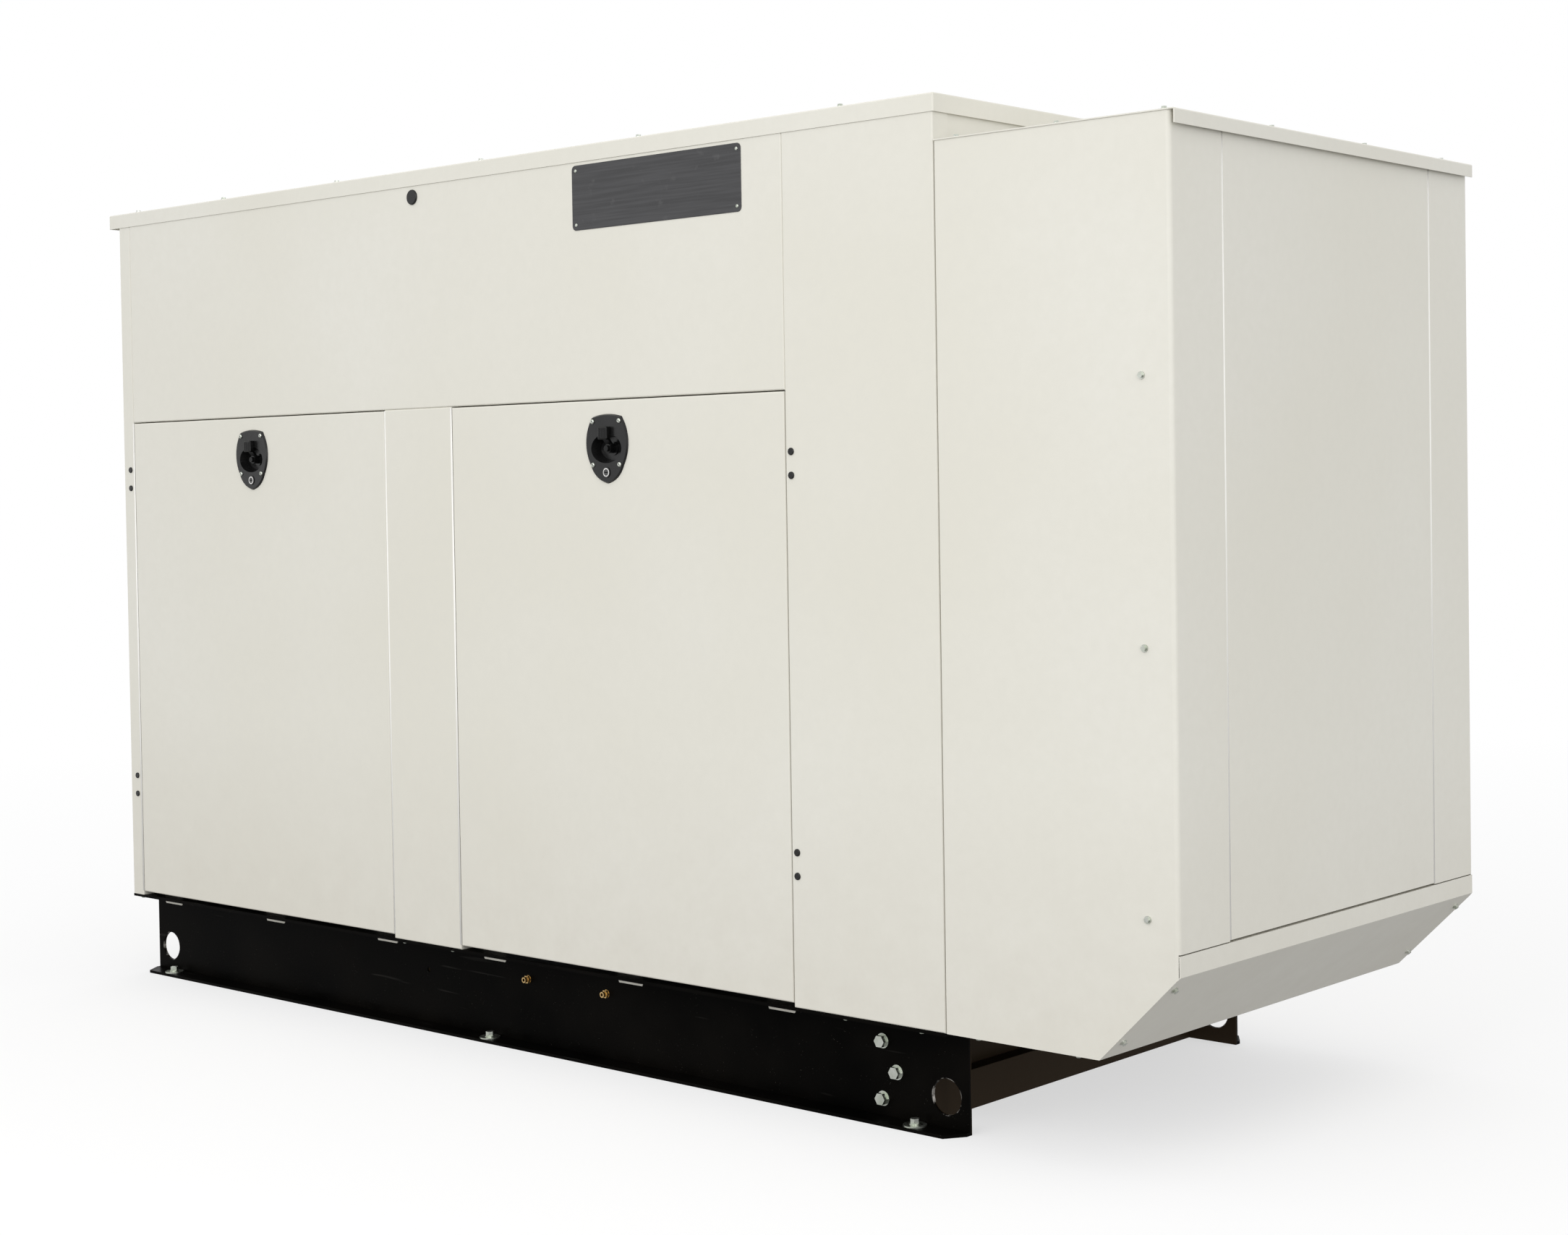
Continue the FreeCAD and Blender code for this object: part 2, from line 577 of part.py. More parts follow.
def hood_side(side):
    """The hood's side sheet, folded round the end, flanged below and joggled at the enclosure."""
    y0 = -WALL_Y
    top = HOOD_TOP - SHEET
    wrap = box(HOOD_X0, HOOD_X1, y0, -END_FOLD_Y, RAIL_HEIGHT, top)
    hollow = box(HOOD_X0 + SHEET, HOOD_X1 - SHEET, y0 + SHEET, -END_FOLD_Y + 1, RAIL_HEIGHT - 1, top + 1)
    wrap = wrap.makeFillet(CORNER_R, outer_corner(wrap))
    hollow = hollow.makeFillet(CORNER_R - SHEET, outer_corner(hollow))
    inside = box(HOOD_X0 - 1, HOOD_X1 - 22, y0 + 12, -END_FOLD_Y + 1, RAIL_HEIGHT - 1, top + 1)
    lip = box(HOOD_X1 - 22, HOOD_X1 - SHEET, -END_FOLD_Y - SHEET, -END_FOLD_Y, SCOOP_TOP + 2, top)
    joggle = fuse(box(WALL_X1, HOOD_X0 + SHEET, y0 + 10, y0 + 12, RAIL_HEIGHT, top),
                  box(HOOD_X0, HOOD_X0 + SHEET, y0 + SHEET, y0 + 12, RAIL_HEIGHT, top))
    scoop_space = prism([(CHAMFER_X, y0 - 1, RAIL_HEIGHT - 1), (HOOD_X1 + 5, y0 - 1, RAIL_HEIGHT - 1),
                         (HOOD_X1 + 5, y0 - 1, chamfer_point(HOOD_X1 + 5)),
                         (CHAMFER_X, y0 - 1, RAIL_HEIGHT)], (0, WALL_Y, 0))
    end_below = box(HOOD_X1 - 12, HOOD_X1 + 1, y0 + SHEET, 0, RAIL_HEIGHT - 1, SCOOP_TOP + 2)
    sheet = fuse(wrap.cut([hollow, inside]), lip, joggle).cut([scoop_space, end_below])
    fold = [e for e in long_edges(sheet, "Z", 500) if e.BoundBox.XMin > HOOD_X1 - 0.1
            and e.BoundBox.YMin > -END_FOLD_Y - 0.1]
    sheet = sheet.makeFillet(FOLD_R, fold)
    foot = box(HOOD_X0, CHAMFER_X - 2, y0 + SHEET / 2, y0 + HOOD_FLANGE, RAIL_HEIGHT, RAIL_HEIGHT + SHEET)
    x0 = CHAMFER_X + 8
    x1 = HOOD_X1 - 14
    lift = SHEET * math.hypot(1.0, CHAMFER_RISE) + 0.2
    y1 = y0 + SHEET / 2
    slope = prism([(x0, y1, chamfer_point(x0) + lift), (x1, y1, chamfer_point(x1) + lift),
                   (x1, y1, chamfer_point(x1) + 2 * lift), (x0, y1, chamfer_point(x0) + 2 * lift)],
                  (0, 2 * HOOD_FLANGE, 0))
    holes = [rod((HOOD_SCREW_X, y0 - 1, z), (0, 1, 0), SCREW_R, SHEET + 2) for z in HOOD_SCREW_Z]
    holes += [rod((x, -HOOD_FOOT_SCREW_Y, RAIL_HEIGHT - 1), (0, 0, 1), SCREW_R, SHEET + 2)
              for x in HOOD_FOOT_SCREW_X]
    return on_side(fuse(sheet, foot, slope).cut(holes), side)


def hood_end_panel():
    """The middle of the hood's end wall."""
    y1 = END_FOLD_Y - SEAM
    z0 = SCOOP_TOP + END_GAP
    top = HOOD_TOP - SHEET
    pan = box(HOOD_X1 - 22, HOOD_X1, -y1, y1, z0, top)
    pan = pan.makeFillet(PAN_BEND, [e for e in long_edges(pan, "Z", 100) if e.BoundBox.XMin > HOOD_X1 - 1])
    return pan.cut(box(HOOD_X1 - 23, HOOD_X1 - SHEET, -y1 + SHEET, y1 - SHEET, z0 + SHEET, top - SHEET))


def hood_scoop():
    """The sloping panel that turns the air down, with a short upright band above it."""
    half = WALL_Y - SHEET - 0.5
    slope = SHEET * math.hypot(1.0, CHAMFER_RISE)
    flange = HOOD_X1 - 16
    inner = HOOD_X1 - SHEET
    outline = [(CHAMFER_X, -half, RAIL_HEIGHT), (HOOD_X1, -half, CHAMFER_Z), (HOOD_X1, -half, SCOOP_TOP),
               (flange, -half, SCOOP_TOP), (flange, -half, SCOOP_TOP - SHEET),
               (inner, -half, SCOOP_TOP - SHEET), (inner, -half, CHAMFER_Z + SHEET / 2),
               (CHAMFER_X, -half, RAIL_HEIGHT + slope)]
    plate = prism(outline, (0, 2 * half, 0))
    normal = (CHAMFER_RISE, 0, -1)
    holes = [rod(along((x, side * SCOOP_SCREW_Y, chamfer_point(x)), normal, -4 * SHEET), normal, SCREW_R,
                 6 * SHEET) for x in SCOOP_SCREW_X for side in (-1, 1)]
    return plate.cut(holes)


def hood_roof():
    """The hood's lower roof sheet, turned down over the end wall."""
    x0 = WALL_X1 + SHEET
    sheet = box(x0, HOOD_ROOF_X1, -ROOF_Y, ROOF_Y, HOOD_TOP - HOOD_LIP, HOOD_TOP)
    edge = [e for e in edges_at(sheet, "Z", HOOD_TOP) if e.BoundBox.XMin > HOOD_ROOF_X1 - 1]
    sheet = sheet.makeFillet(BEND, edge)
    below = box(x0 - 1, HOOD_ROOF_X1 - SHEET, -ROOF_Y - 1, ROOF_Y + 1, HOOD_TOP - HOOD_LIP - 1,
                HOOD_TOP - SHEET)
    holes = [rod((x, y, HOOD_TOP - SHEET - 1), (0, 0, 1), SCREW_R, SHEET + 2) for x, y in hood_roof_screws()]
    return sheet.cut([below] + holes)


# ---- doors and latches ------------------------------------------------------------------------
def door(x0, x1, side):
    """A lift-out door: a folded tray with three tabs that drop into the rail."""
    pan = front_pan(x0, x1, DOOR_BOTTOM, DOOR_TOP, DOOR_DEPTH, DOOR_LIP)
    centre = (x0 + x1) / 2
    tabs = []
    for step in (-1, 0, 1):
        a = centre + step * TAB_PITCH - TAB_LENGTH / 2
        b = a + TAB_LENGTH
        y = -TAB_Y - SHEET / 2
        top = DOOR_BOTTOM + SHEET
        shoulder = TAB_BOTTOM + 2 * TAB_TAPER
        tabs.append(prism([(a, y, top), (b, y, top), (b, y, shoulder), (b - TAB_TAPER, y, TAB_BOTTOM),
                           (a + TAB_TAPER, y, TAB_BOTTOM), (a, y, shoulder)], (0, SHEET, 0)))
    cutout = rod((centre, -WALL_Y - 1, LATCH_Z), (0, 1, 0), BOWL_HALF_X + 1.5, SHEET + 2)
    keyway = rod((centre, -WALL_Y - 1, LATCH_Z - LOCK_DROP), (0, 1, 0), LOCK_R + 4, SHEET + 2)
    return on_side(fuse(pan, *tabs).cut([cutout, keyway]), side)


def shield(centre_x, inset):
    """The latch plate's outline: arched top, bulging sides and a blunt point below."""
    def point(x, z):
        scale = 1.0 - inset / 55.0
        return Vector(centre_x + x * scale, 0, LATCH_Z + z * scale)
    arcs = [
        Part.Arc(point(-37, 59), point(0, 63.5), point(37, 59)),
        Part.Arc(point(37, 59), point(39.6, 57.6), point(41.2, 54.5)),
        Part.Arc(point(41.2, 54.5), point(55, 8), point(43, -31)),
        Part.Arc(point(43, -31), point(27, -53), point(7, -63)),
        Part.Arc(point(7, -63), point(0, -64.5), point(-7, -63)),
        Part.Arc(point(-7, -63), point(-27, -53), point(-43, -31)),
        Part.Arc(point(-43, -31), point(-55, 8), point(-41.2, 54.5)),
        Part.Arc(point(-41.2, 54.5), point(-39.6, 57.6), point(-37, 59)),
    ]
    return Part.Wire([arc.toShape() for arc in arcs])


def oval(centre_x, half_x, half_z, y):
    """An elliptical face in the XZ plane."""
    ellipse = Part.Ellipse(Vector(centre_x + half_x, y, LATCH_Z), Vector(centre_x, y, LATCH_Z + half_z),
                           Vector(centre_x, y, LATCH_Z))
    return Part.Wire([ellipse.toShape()])


def latch_plate(centre_x, side):
    """The shield-shaped plate with its finger bowl, and its four screws."""
    face = -WALL_Y
    low = shield(centre_x, 0).translated(Vector(0, face, 0))
    high = shield(centre_x, PLATE_EDGE).translated(Vector(0, face - PLATE_THICK, 0))
    plate = Part.makeLoft([low, high], True)
    floor_y = face - PLATE_THICK + BOWL_DEPTH
    cup = Part.makeLoft([oval(centre_x, BOWL_HALF_X, BOWL_HALF_Z, face - PLATE_THICK),
                         oval(centre_x, BOWL_HALF_X - 6, BOWL_HALF_Z - 6, floor_y + 2)], True)
    bowl = Part.makeLoft([oval(centre_x, BOWL_HALF_X - 2, BOWL_HALF_Z - 2, face - PLATE_THICK - 0.01),
                          oval(centre_x, BOWL_HALF_X - 8, BOWL_HALF_Z - 8, floor_y)], True)
    barrel = rod((centre_x, face, LATCH_Z - LOCK_DROP), (0, 1, 0), LOCK_R + 3, 24)
    bezel = rod((centre_x, face - PLATE_THICK - 1.2, LATCH_Z - LOCK_DROP), (0, 1, 0), LOCK_R + 2, 3)
    collar = rod((centre_x, floor_y - 2.5, LATCH_Z), (0, 1, 0), HUB_R + 4, 4)
    plate = fuse(fuse(plate, cup).cut(bowl), barrel, bezel, collar)
    cuts = [rod((centre_x, floor_y - 5, LATCH_Z), (0, 1, 0), HUB_R + FIT, 12),
            rod((centre_x, face - PLATE_THICK - 2, LATCH_Z - LOCK_DROP), (0, 1, 0), LOCK_R + FIT, 40)]
    for dx, dz in LATCH_SCREWS:
        cuts.append(rod((centre_x + dx, face - PLATE_THICK - 1, LATCH_Z + dz), (0, 1, 0), SCREW_R, 10))
    plate = plate.cut(cuts)
    screws = [pan_screw((centre_x + dx, face - PLATE_THICK, LATCH_Z + dz), (0, -1, 0), 4.2, 2.5, SCREW_R,
                        PLATE_THICK) for dx, dz in LATCH_SCREWS]
    return on_side(Part.makeCompound([plate] + screws), side)


def latch_handle(centre_x, side):
    """The lever on its hub, and the cam it turns behind the door."""
    front = -WALL_Y - PLATE_THICK
    floor_y = front + BOWL_DEPTH
    cam_y = -WALL_Y + DOOR_DEPTH + 1
    hub = rod((centre_x, front + 4, LATCH_Z), (0, 1, 0), HUB_R, BOWL_DEPTH + 1)
    boss = rod((centre_x, front - 1, LATCH_Z), (0, 1, 0), HUB_R - 3, 6)
    profile = [(6, -8), (6, 8), (-2.5, 17), (-8, 22), (-8, 34), (-1.5, 34), (-1.5, 25), (8, 12), (12, 8),
               (12, -8)]
    lever = prism([(centre_x - 7, front + dy, LATCH_Z + dz) for dy, dz in profile], (14, 0, 0))
    grip = box(centre_x - 12, centre_x + 12, front - 11, front - 1.5, LATCH_Z + 16, LATCH_Z + 40)
    grip = grip.makeFillet(3.0, long_edges(grip, "Y", 5) + edges_at(grip, "Y", front - 11))
    grooves = [rod((centre_x + dx, front - 12.2, LATCH_Z + 19), (0, 0, 1), 2.2, 17) for dx in (-6, 0, 6)]
    stem = rod((centre_x, floor_y + 5, LATCH_Z), (0, 1, 0), STEM_R, cam_y - floor_y - 5)
    handle = fuse(hub, boss, lever, grip, stem).cut(grooves)
    arm = box(centre_x - 13, centre_x + CAM_LENGTH, cam_y, cam_y + 4, LATCH_Z - 13, LATCH_Z + 13)
    arm = arm.makeFillet(6.0, long_edges(arm, "Y", 3))
    return on_side(Part.makeCompound([handle, arm]), side)


def lock_cylinder(centre_x, side):
    """The key barrel below the handle."""
    front = -WALL_Y - PLATE_THICK
    barrel = rod((centre_x, front - 1.5, LATCH_Z - LOCK_DROP), (0, 1, 0), LOCK_R, 28)
    slot = box(centre_x - 4.5, centre_x + 4.5, front - 2.5, front + 6, LATCH_Z - LOCK_DROP - 0.8,
               LATCH_Z - LOCK_DROP + 0.8)
    return on_side(barrel.cut(slot), side)


# ---- engine and generator ---------------------------------------------------------------------
def foot(x, inner_y, top_z):
    """A gusseted foot from the engine or the generator out to its mount."""
    plate = box(x - 45, x + 45, inner_y - 5, MOUNT_Y + 45, MOUNT_TOP, MOUNT_TOP + 12)
    gusset = prism([(x - 8, inner_y - 5, MOUNT_TOP + 12), (x - 8, MOUNT_Y + 20, MOUNT_TOP + 12),
                    (x - 8, inner_y - 5, top_z)], (16, 0, 0))
    return fuse(plate, gusset)


def engine_block():
    """An in-line block with core plugs, ribs and mounting feet, bored for the crankshaft."""
    block = box(ENGINE_X0, ENGINE_X1, -ENGINE_HALF, ENGINE_HALF, PAN_Z[1], BLOCK_TOP)
    block = block.makeFillet(14.0, long_edges(block, "Z", 100))
    extras = []
    for x in BORE_X:
        extras.append(rod((x, -ENGINE_HALF - 6, 590), (0, 1, 0), 26, 2 * ENGINE_HALF + 12))
        extras.append(box(x + 60, x + 68, -ENGINE_HALF - 10, ENGINE_HALF + 10, PAN_Z[1] + 20, BLOCK_TOP - 30))
    extras.append(rod((1400, -ENGINE_HALF - 85, 430), (0, 1, 0), 46, 90))
    feet = [foot(MOUNT_X[1], ENGINE_HALF, 470), rear(foot(MOUNT_X[1], ENGINE_HALF, 470))]
    pump = box(ENGINE_X1 - STUB_R, ENGINE_X1 + 18, -52, 52, 640, 822)
    pump = pump.makeFillet(12.0, long_edges(pump, "X", 20))
    bores = [rod((ENGINE_X0 - 1, 0, CRANK_Z), (1, 0, 0), SHAFT_R + FIT, ENGINE_X1 - ENGINE_X0 + 2),
             rod((ENGINE_X1 - 10, 0, FAN_Z), (1, 0, 0), FAN_SHAFT_R + FIT, 40),
             box(ENGINE_X0 + 30, ENGINE_X1 - 40, -95, 95, PAN_Z[1] - 1, 440)]
    bores += [rod((x, 0, 430), (0, 0, 1), 48, BLOCK_TOP - 430) for x in BORE_X]
    inlet = rod((ENGINE_X1, 40, WATER_IN_Z), (0, 1, 0), STUB_R, 130)
    outlet = rod((ENGINE_X1, -40, WATER_OUT_Z), (0, -1, 0), STUB_R, 110)
    return fuse(block, pump, inlet, outlet, *(extras + feet)).cut(bores)


def cylinder_head():
    """The head and the ribbed cover on top of it."""
    head = box(ENGINE_X0 + 10, ENGINE_X1 - STUB_R - 2, -105, 105, BLOCK_TOP, HEAD_TOP)
    cover = box(ENGINE_X0 + 25, ENGINE_X1 - 35, -75, 75, HEAD_TOP, COVER_TOP)
    cover = cover.makeFillet(22.0, edges_at(cover, "Z", COVER_TOP) + long_edges(cover, "Z", 20))
    ribs = [box(ENGINE_X0 + 60, ENGINE_X1 - 80, y - 4, y + 4, COVER_TOP - 5, COVER_TOP + 6)
            for y in (-36, -12, 12, 36)]
    filler = rod((ENGINE_X1 - 75, 40, COVER_TOP - 10), (0, 0, 1), 20, 40)
    return fuse(head, cover, filler, *ribs)


def oil_pan():
    """The sump, deeper at the generator end."""
    y1 = ENGINE_HALF - 10
    outline = [(ENGINE_X0 + 10, -y1, PAN_Z[1]), (ENGINE_X1 - 10, -y1, PAN_Z[1]),
               (ENGINE_X1 - 10, -y1, PAN_Z[1] - 45), (ENGINE_X1 - 260, -y1, PAN_Z[1] - 55),
               (ENGINE_X1 - 300, -y1, PAN_Z[0]), (ENGINE_X0 + 30, -y1, PAN_Z[0]),
               (ENGINE_X0 + 10, -y1, PAN_Z[0] + 20)]
    well = box(ENGINE_X0 + 36, ENGINE_X1 - 306, -y1 + 5, y1 - 5, PAN_Z[0] + 5, PAN_Z[1] + 1)
    return prism(outline, (0, 2 * y1, 0)).cut(well)


def alternator_housing():
    """The generator's ribbed barrel and the engine's bell housing, hollow for the rotor."""
    x0 = GENERATOR_X0
    x1 = x0 + GENERATOR_LENGTH
    barrel = rod((x0, 0, CRANK_Z), (1, 0, 0), GENERATOR_R, GENERATOR_LENGTH)
    bell = Part.makeCone(GENERATOR_R + 10, GENERATOR_R + 40, ENGINE_X0 - x1 - 2, Vector(x1, 0, CRANK_Z),
                         Vector(1, 0, 0))
    flange = rod((ENGINE_X0 - 14, 0, CRANK_Z), (1, 0, 0), GENERATOR_R + 45, 14)
    ribs = [rod((x0 + 60 + i * 55, 0, CRANK_Z), (1, 0, 0), GENERATOR_R + 8, 14) for i in range(8)]
    feet = [foot(MOUNT_X[0], 150, 400), rear(foot(MOUNT_X[0], 150, 400))]
    body = fuse(barrel, bell, flange, *(ribs + feet))
    hollow = [rod((x0 + 20, 0, CRANK_Z), (1, 0, 0), 170, ENGINE_X0 - x0 - 40),
              rod((x0 - 1, 0, CRANK_Z), (1, 0, 0), SHAFT_R + FIT, ENGINE_X0 - x0 + 3)]
    vents = []
    for i in range(10):
        angle = math.radians(36 * i)
        centre = Vector(x0 - 1, 110 * math.sin(angle), CRANK_Z + 110 * math.cos(angle))
        vents.append(Part.makeCylinder(22, 22, centre, Vector(1, 0, 0)))
    return body.cut(hollow + vents)


def grooved_pulley(z, radius, groove_r):
    """A pulley on the +X end of the engine, and the ring to cut from it for the belt."""
    wheel = rod((PULLEY_X, 0, z), (1, 0, 0), radius, PULLEY_WIDTH)
    x = PULLEY_X + (PULLEY_WIDTH - GROOVE_WIDTH) / 2
    ring = rod((x, 0, z), (1, 0, 0), radius + 15, GROOVE_WIDTH)
    return wheel, ring.cut(rod((x, 0, z), (1, 0, 0), groove_r, GROOVE_WIDTH))


def crankshaft_rotor():
    """The turning shaft: generator rotor, flywheel, and the drive pulley at the fan end."""
    x0 = GENERATOR_X0 + 15
    shaft = rod((x0, 0, CRANK_Z), (1, 0, 0), SHAFT_R, PULLEY_X + PULLEY_WIDTH + 4 - x0)
    rotor = rod((640, 0, CRANK_Z), (1, 0, 0), ROTOR_R, 380)
    flywheel = rod((1085, 0, CRANK_Z), (1, 0, 0), ROTOR_R + 10, 40)
    pulley, groove = grooved_pulley(CRANK_Z, CRANK_PULLEY_R, CRANK_GROOVE_R)
    flutes = [box(630, 1030, -14, 14, ROTOR_R - 40, ROTOR_R + 10) for _ in range(4)]
    for i, flute in enumerate(flutes):
        flute.Placement = FreeCAD.Placement(Vector(0, 0, CRANK_Z),
                                            FreeCAD.Rotation(Vector(1, 0, 0), 45 + 90 * i))
    return fuse(shaft, rotor, flywheel, pulley).cut([groove] + flutes)


def belt_outline(low_r, high_r):
    """A face round both pulleys: two discs and the tangents between them."""
    span = FAN_Z - CRANK_Z
    lean = math.asin((low_r - high_r) / span)
    across = math.cos(lean)
    up = math.sin(lean)
    low = [Vector(0, side * low_r * across, CRANK_Z + low_r * up) for side in (-1, 1)]
    high = [Vector(0, side * high_r * across, FAN_Z + high_r * up) for side in (-1, 1)]
    edges = [Part.Arc(low[0], Vector(0, 0, CRANK_Z - low_r), low[1]).toShape(),
             Part.LineSegment(low[1], high[1]).toShape(),
             Part.Arc(high[1], Vector(0, 0, FAN_Z + high_r), high[0]).toShape(),
             Part.LineSegment(high[0], low[0]).toShape()]
    return Part.Face(Part.Wire(edges))


def drive_belt():
    """The belt from the crank pulley to the fan pulley, just clear of both grooves."""
    inner_low = CRANK_GROOVE_R + BELT_CLEAR
    inner_high = FAN_GROOVE_R + BELT_CLEAR
    outer = belt_outline(inner_low + BELT_THICK, inner_high + BELT_THICK)
    width = GROOVE_WIDTH - 2 * BELT_CLEAR
    x = PULLEY_X + (PULLEY_WIDTH - width) / 2
    band = outer.cut(belt_outline(inner_low, inner_high)).extrude(Vector(width, 0, 0))
    return band.translated(Vector(x, 0, 0))


def vibration_mounts():
    """Rubber blocks between the cross members and the feet."""
    solids = []
    for x in MOUNT_X:
        waist = rod((x, -MOUNT_Y, CROSS_Z1), (0, 0, 1), 30, MOUNT_TOP - CROSS_Z1)
        ends = [rod((x, -MOUNT_Y, z), (0, 0, 1), 37, 14) for z in (CROSS_Z1, MOUNT_TOP - 14)]
        solids.append(fuse(waist, *ends))
    return Part.makeCompound(both_sides(solids))


def intake_manifold():
    """The plenum, its four runners, and the air cleaner on its throttle."""
    y = INTAKE_Y
    plenum = rod((ENGINE_X0 + 60, y, INTAKE_Z), (1, 0, 0), 48, 480)
    runners = [rod((x, -105, PORT_Z), (0, -0.92, 0.39), 21, 125) for x in PORT_X]
    neck = rod((ENGINE_X0 + 20, y, INTAKE_Z), (1, 0, 0), 34, 60)
    cleaner = rod((ENGINE_X0 - 210, y, INTAKE_Z), (1, 0, 0), 105, 230)
    cleaner = cleaner.makeFillet(16.0, [e for e in cleaner.Edges if e.Closed])
    return fuse(plenum, neck, cleaner, *runners).cut(
        box(ENGINE_X0, ENGINE_X1, -105, 105, BLOCK_TOP, HEAD_TOP))


def exhaust_pipe():
    """The manifold on the rear of the head, its riser, and the pipe through the bulkhead."""
    log_y = 185.0
    log = rod((ENGINE_X0 + 60, log_y, PORT_Z), (1, 0, 0), 34, 470)
    ports = [rod((x, 105, PORT_Z), (0, 1, 0), 24, 82) for x in PORT_X]
    x_up = 1500.0
    bend = 90.0
    top = EXHAUST_Z
    riser = pipe([(x_up, log_y, PORT_Z), (x_up, EXHAUST_Y, PORT_Z), (x_up, EXHAUST_Y, top - bend)], PIPE_R)
    circle = Part.Wire([Part.Circle(Vector(x_up, EXHAUST_Y, top - bend), Vector(0, 0, 1), PIPE_R).toShape()])
    elbow = Part.Face(circle).revolve(Vector(x_up + bend, EXHAUST_Y, top - bend), Vector(0, 1, 0), 90)
    run = rod((x_up + bend, EXHAUST_Y, top), (1, 0, 0), PIPE_R, MUFFLER_X - MUFFLER_R - x_up - bend)
    return fuse(log, riser, elbow, run, *ports)


def muffler():
    """The silencer across the hood, with its tail pipe turned down."""
    wall = 4.0
    y0, y1 = MUFFLER_Y
    body = rod((MUFFLER_X, y0, EXHAUST_Z), (0, 1, 0), MUFFLER_R, y1 - y0)
    body = body.makeFillet(20.0, [e for e in body.Edges if e.Closed])
    seam = [rod((MUFFLER_X, y, EXHAUST_Z), (0, 1, 0), MUFFLER_R + 4, 8) for y in (y0 + 40, y1 - 30)]
    tail = rod((MUFFLER_X, -230, EXHAUST_Z - 330), (0, 0, 1), 30, 260)
    tail = fuse(body, tail, *seam)
    inlet = rod((MUFFLER_X - MUFFLER_R, EXHAUST_Y, EXHAUST_Z), (1, 0, 0), PIPE_R, 40)
    chamber = rod((MUFFLER_X, y0 + wall, EXHAUST_Z), (0, 1, 0), MUFFLER_R - wall, y1 - y0 - 2 * wall)
    chamber = chamber.makeFillet(20.0 - wall, [e for e in chamber.Edges if e.Closed])
    brackets = [box(MUFFLER_X - 20, MUFFLER_X + 20, y - 3, y + 3, EXHAUST_Z + 90, HOOD_TOP - SHEET)
                for y in (-250, 280)]
    tail_bore = rod((MUFFLER_X, -230, EXHAUST_Z - 331), (0, 0, 1), 27, 270)
    return fuse(tail, inlet, *brackets).cut([tail_bore, chamber])


def radiator():
    """The finned core between its tanks, against the bulkhead."""
    x0 = RADIATOR_X0
    x1 = RADIATOR_X1
    rows = int((RADIATOR_Z1 - 80 - RADIATOR_Z0 - 60) / TUBE_PITCH)
    tubes = [box(x0 + 8, x1 - 8, -RADIATOR_HALF + 20, RADIATOR_HALF - 20, z, z + 4)
             for z in (RADIATOR_Z0 + 60 + (i + 0.5) * TUBE_PITCH for i in range(rows))]
    top = box(x0, x1, -RADIATOR_HALF, RADIATOR_HALF, RADIATOR_Z1 - 80, RADIATOR_Z1)
    low = box(x0, x1, -RADIATOR_HALF, RADIATOR_HALF, RADIATOR_Z0, RADIATOR_Z0 + 60)
    sides = [box(x0, x1, y, y + 20, RADIATOR_Z0, RADIATOR_Z1) for y in (-RADIATOR_HALF, RADIATOR_HALF - 20)]
    legs = [box(x0 + 10, x0 + 60, y - 20, y + 20, RAIL_HEIGHT - 11, RADIATOR_Z0) for y in (-380, 380)]
    cap = rod((x0 + 45, 120, RADIATOR_Z1), (0, 0, 1), 32, 26)
    inlet = rod((x0 + 2, -STUB_Y, RADIATOR_Z1 - 40), (-1, 0, 0), STUB_R, STUB_LENGTH)
    outlet = rod((x0 + 2, STUB_Y, RADIATOR_Z0 + 30), (-1, 0, 0), STUB_R, STUB_LENGTH)
    return fuse(top, low, cap, inlet, outlet, *(sides + legs + tubes))


def coolant_hoses():
    """The two rubber hoses between the engine and the radiator, hollow, over their stubs."""
    x_end = RADIATOR_X0 - 8
    upper = [(ENGINE_X1, -107, WATER_OUT_Z), (ENGINE_X1, -190, WATER_OUT_Z), (ENGINE_X1 + 30, -STUB_Y, 1000),
             (ENGINE_X1 + 120, -STUB_Y, 1220), (ENGINE_X1 + 260, -STUB_Y, RADIATOR_Z1 - 40),
             (x_end, -STUB_Y, RADIATOR_Z1 - 40)]
    lower = [(ENGINE_X1, 137, WATER_IN_Z), (ENGINE_X1, 190, WATER_IN_Z), (ENGINE_X1 + 30, STUB_Y, 520),
             (ENGINE_X1 + 120, STUB_Y, 370), (ENGINE_X1 + 240, STUB_Y, RADIATOR_Z0 + 30),
             (x_end, STUB_Y, RADIATOR_Z0 + 30)]
    hoses = [pipe(route, HOSE_R).cut(pipe(route, HOSE_BORE_R)) for route in (upper, lower)]
    return Part.makeCompound(hoses)


def fan_shroud():
    """The duct from the round fan opening to the square radiator face."""
    wall = 4.0
    half = SHROUD_HALF
    inner = half - wall
    ring = rod((SHROUD_X0, 0, FAN_Z), (1, 0, 0), FAN_R + 22, 70)
    duct = box(SHROUD_X0 + 60, SHROUD_X1, -half, half, FAN_Z - half, FAN_Z + half)
    hollow = box(SHROUD_X0 + 60 + wall, SHROUD_X1 + 1, -inner, inner, FAN_Z - inner, FAN_Z + inner)
    hole = rod((SHROUD_X0 - 1, 0, FAN_Z), (1, 0, 0), FAN_R + 18, 120)
    return fuse(ring, duct).cut([hollow, hole])


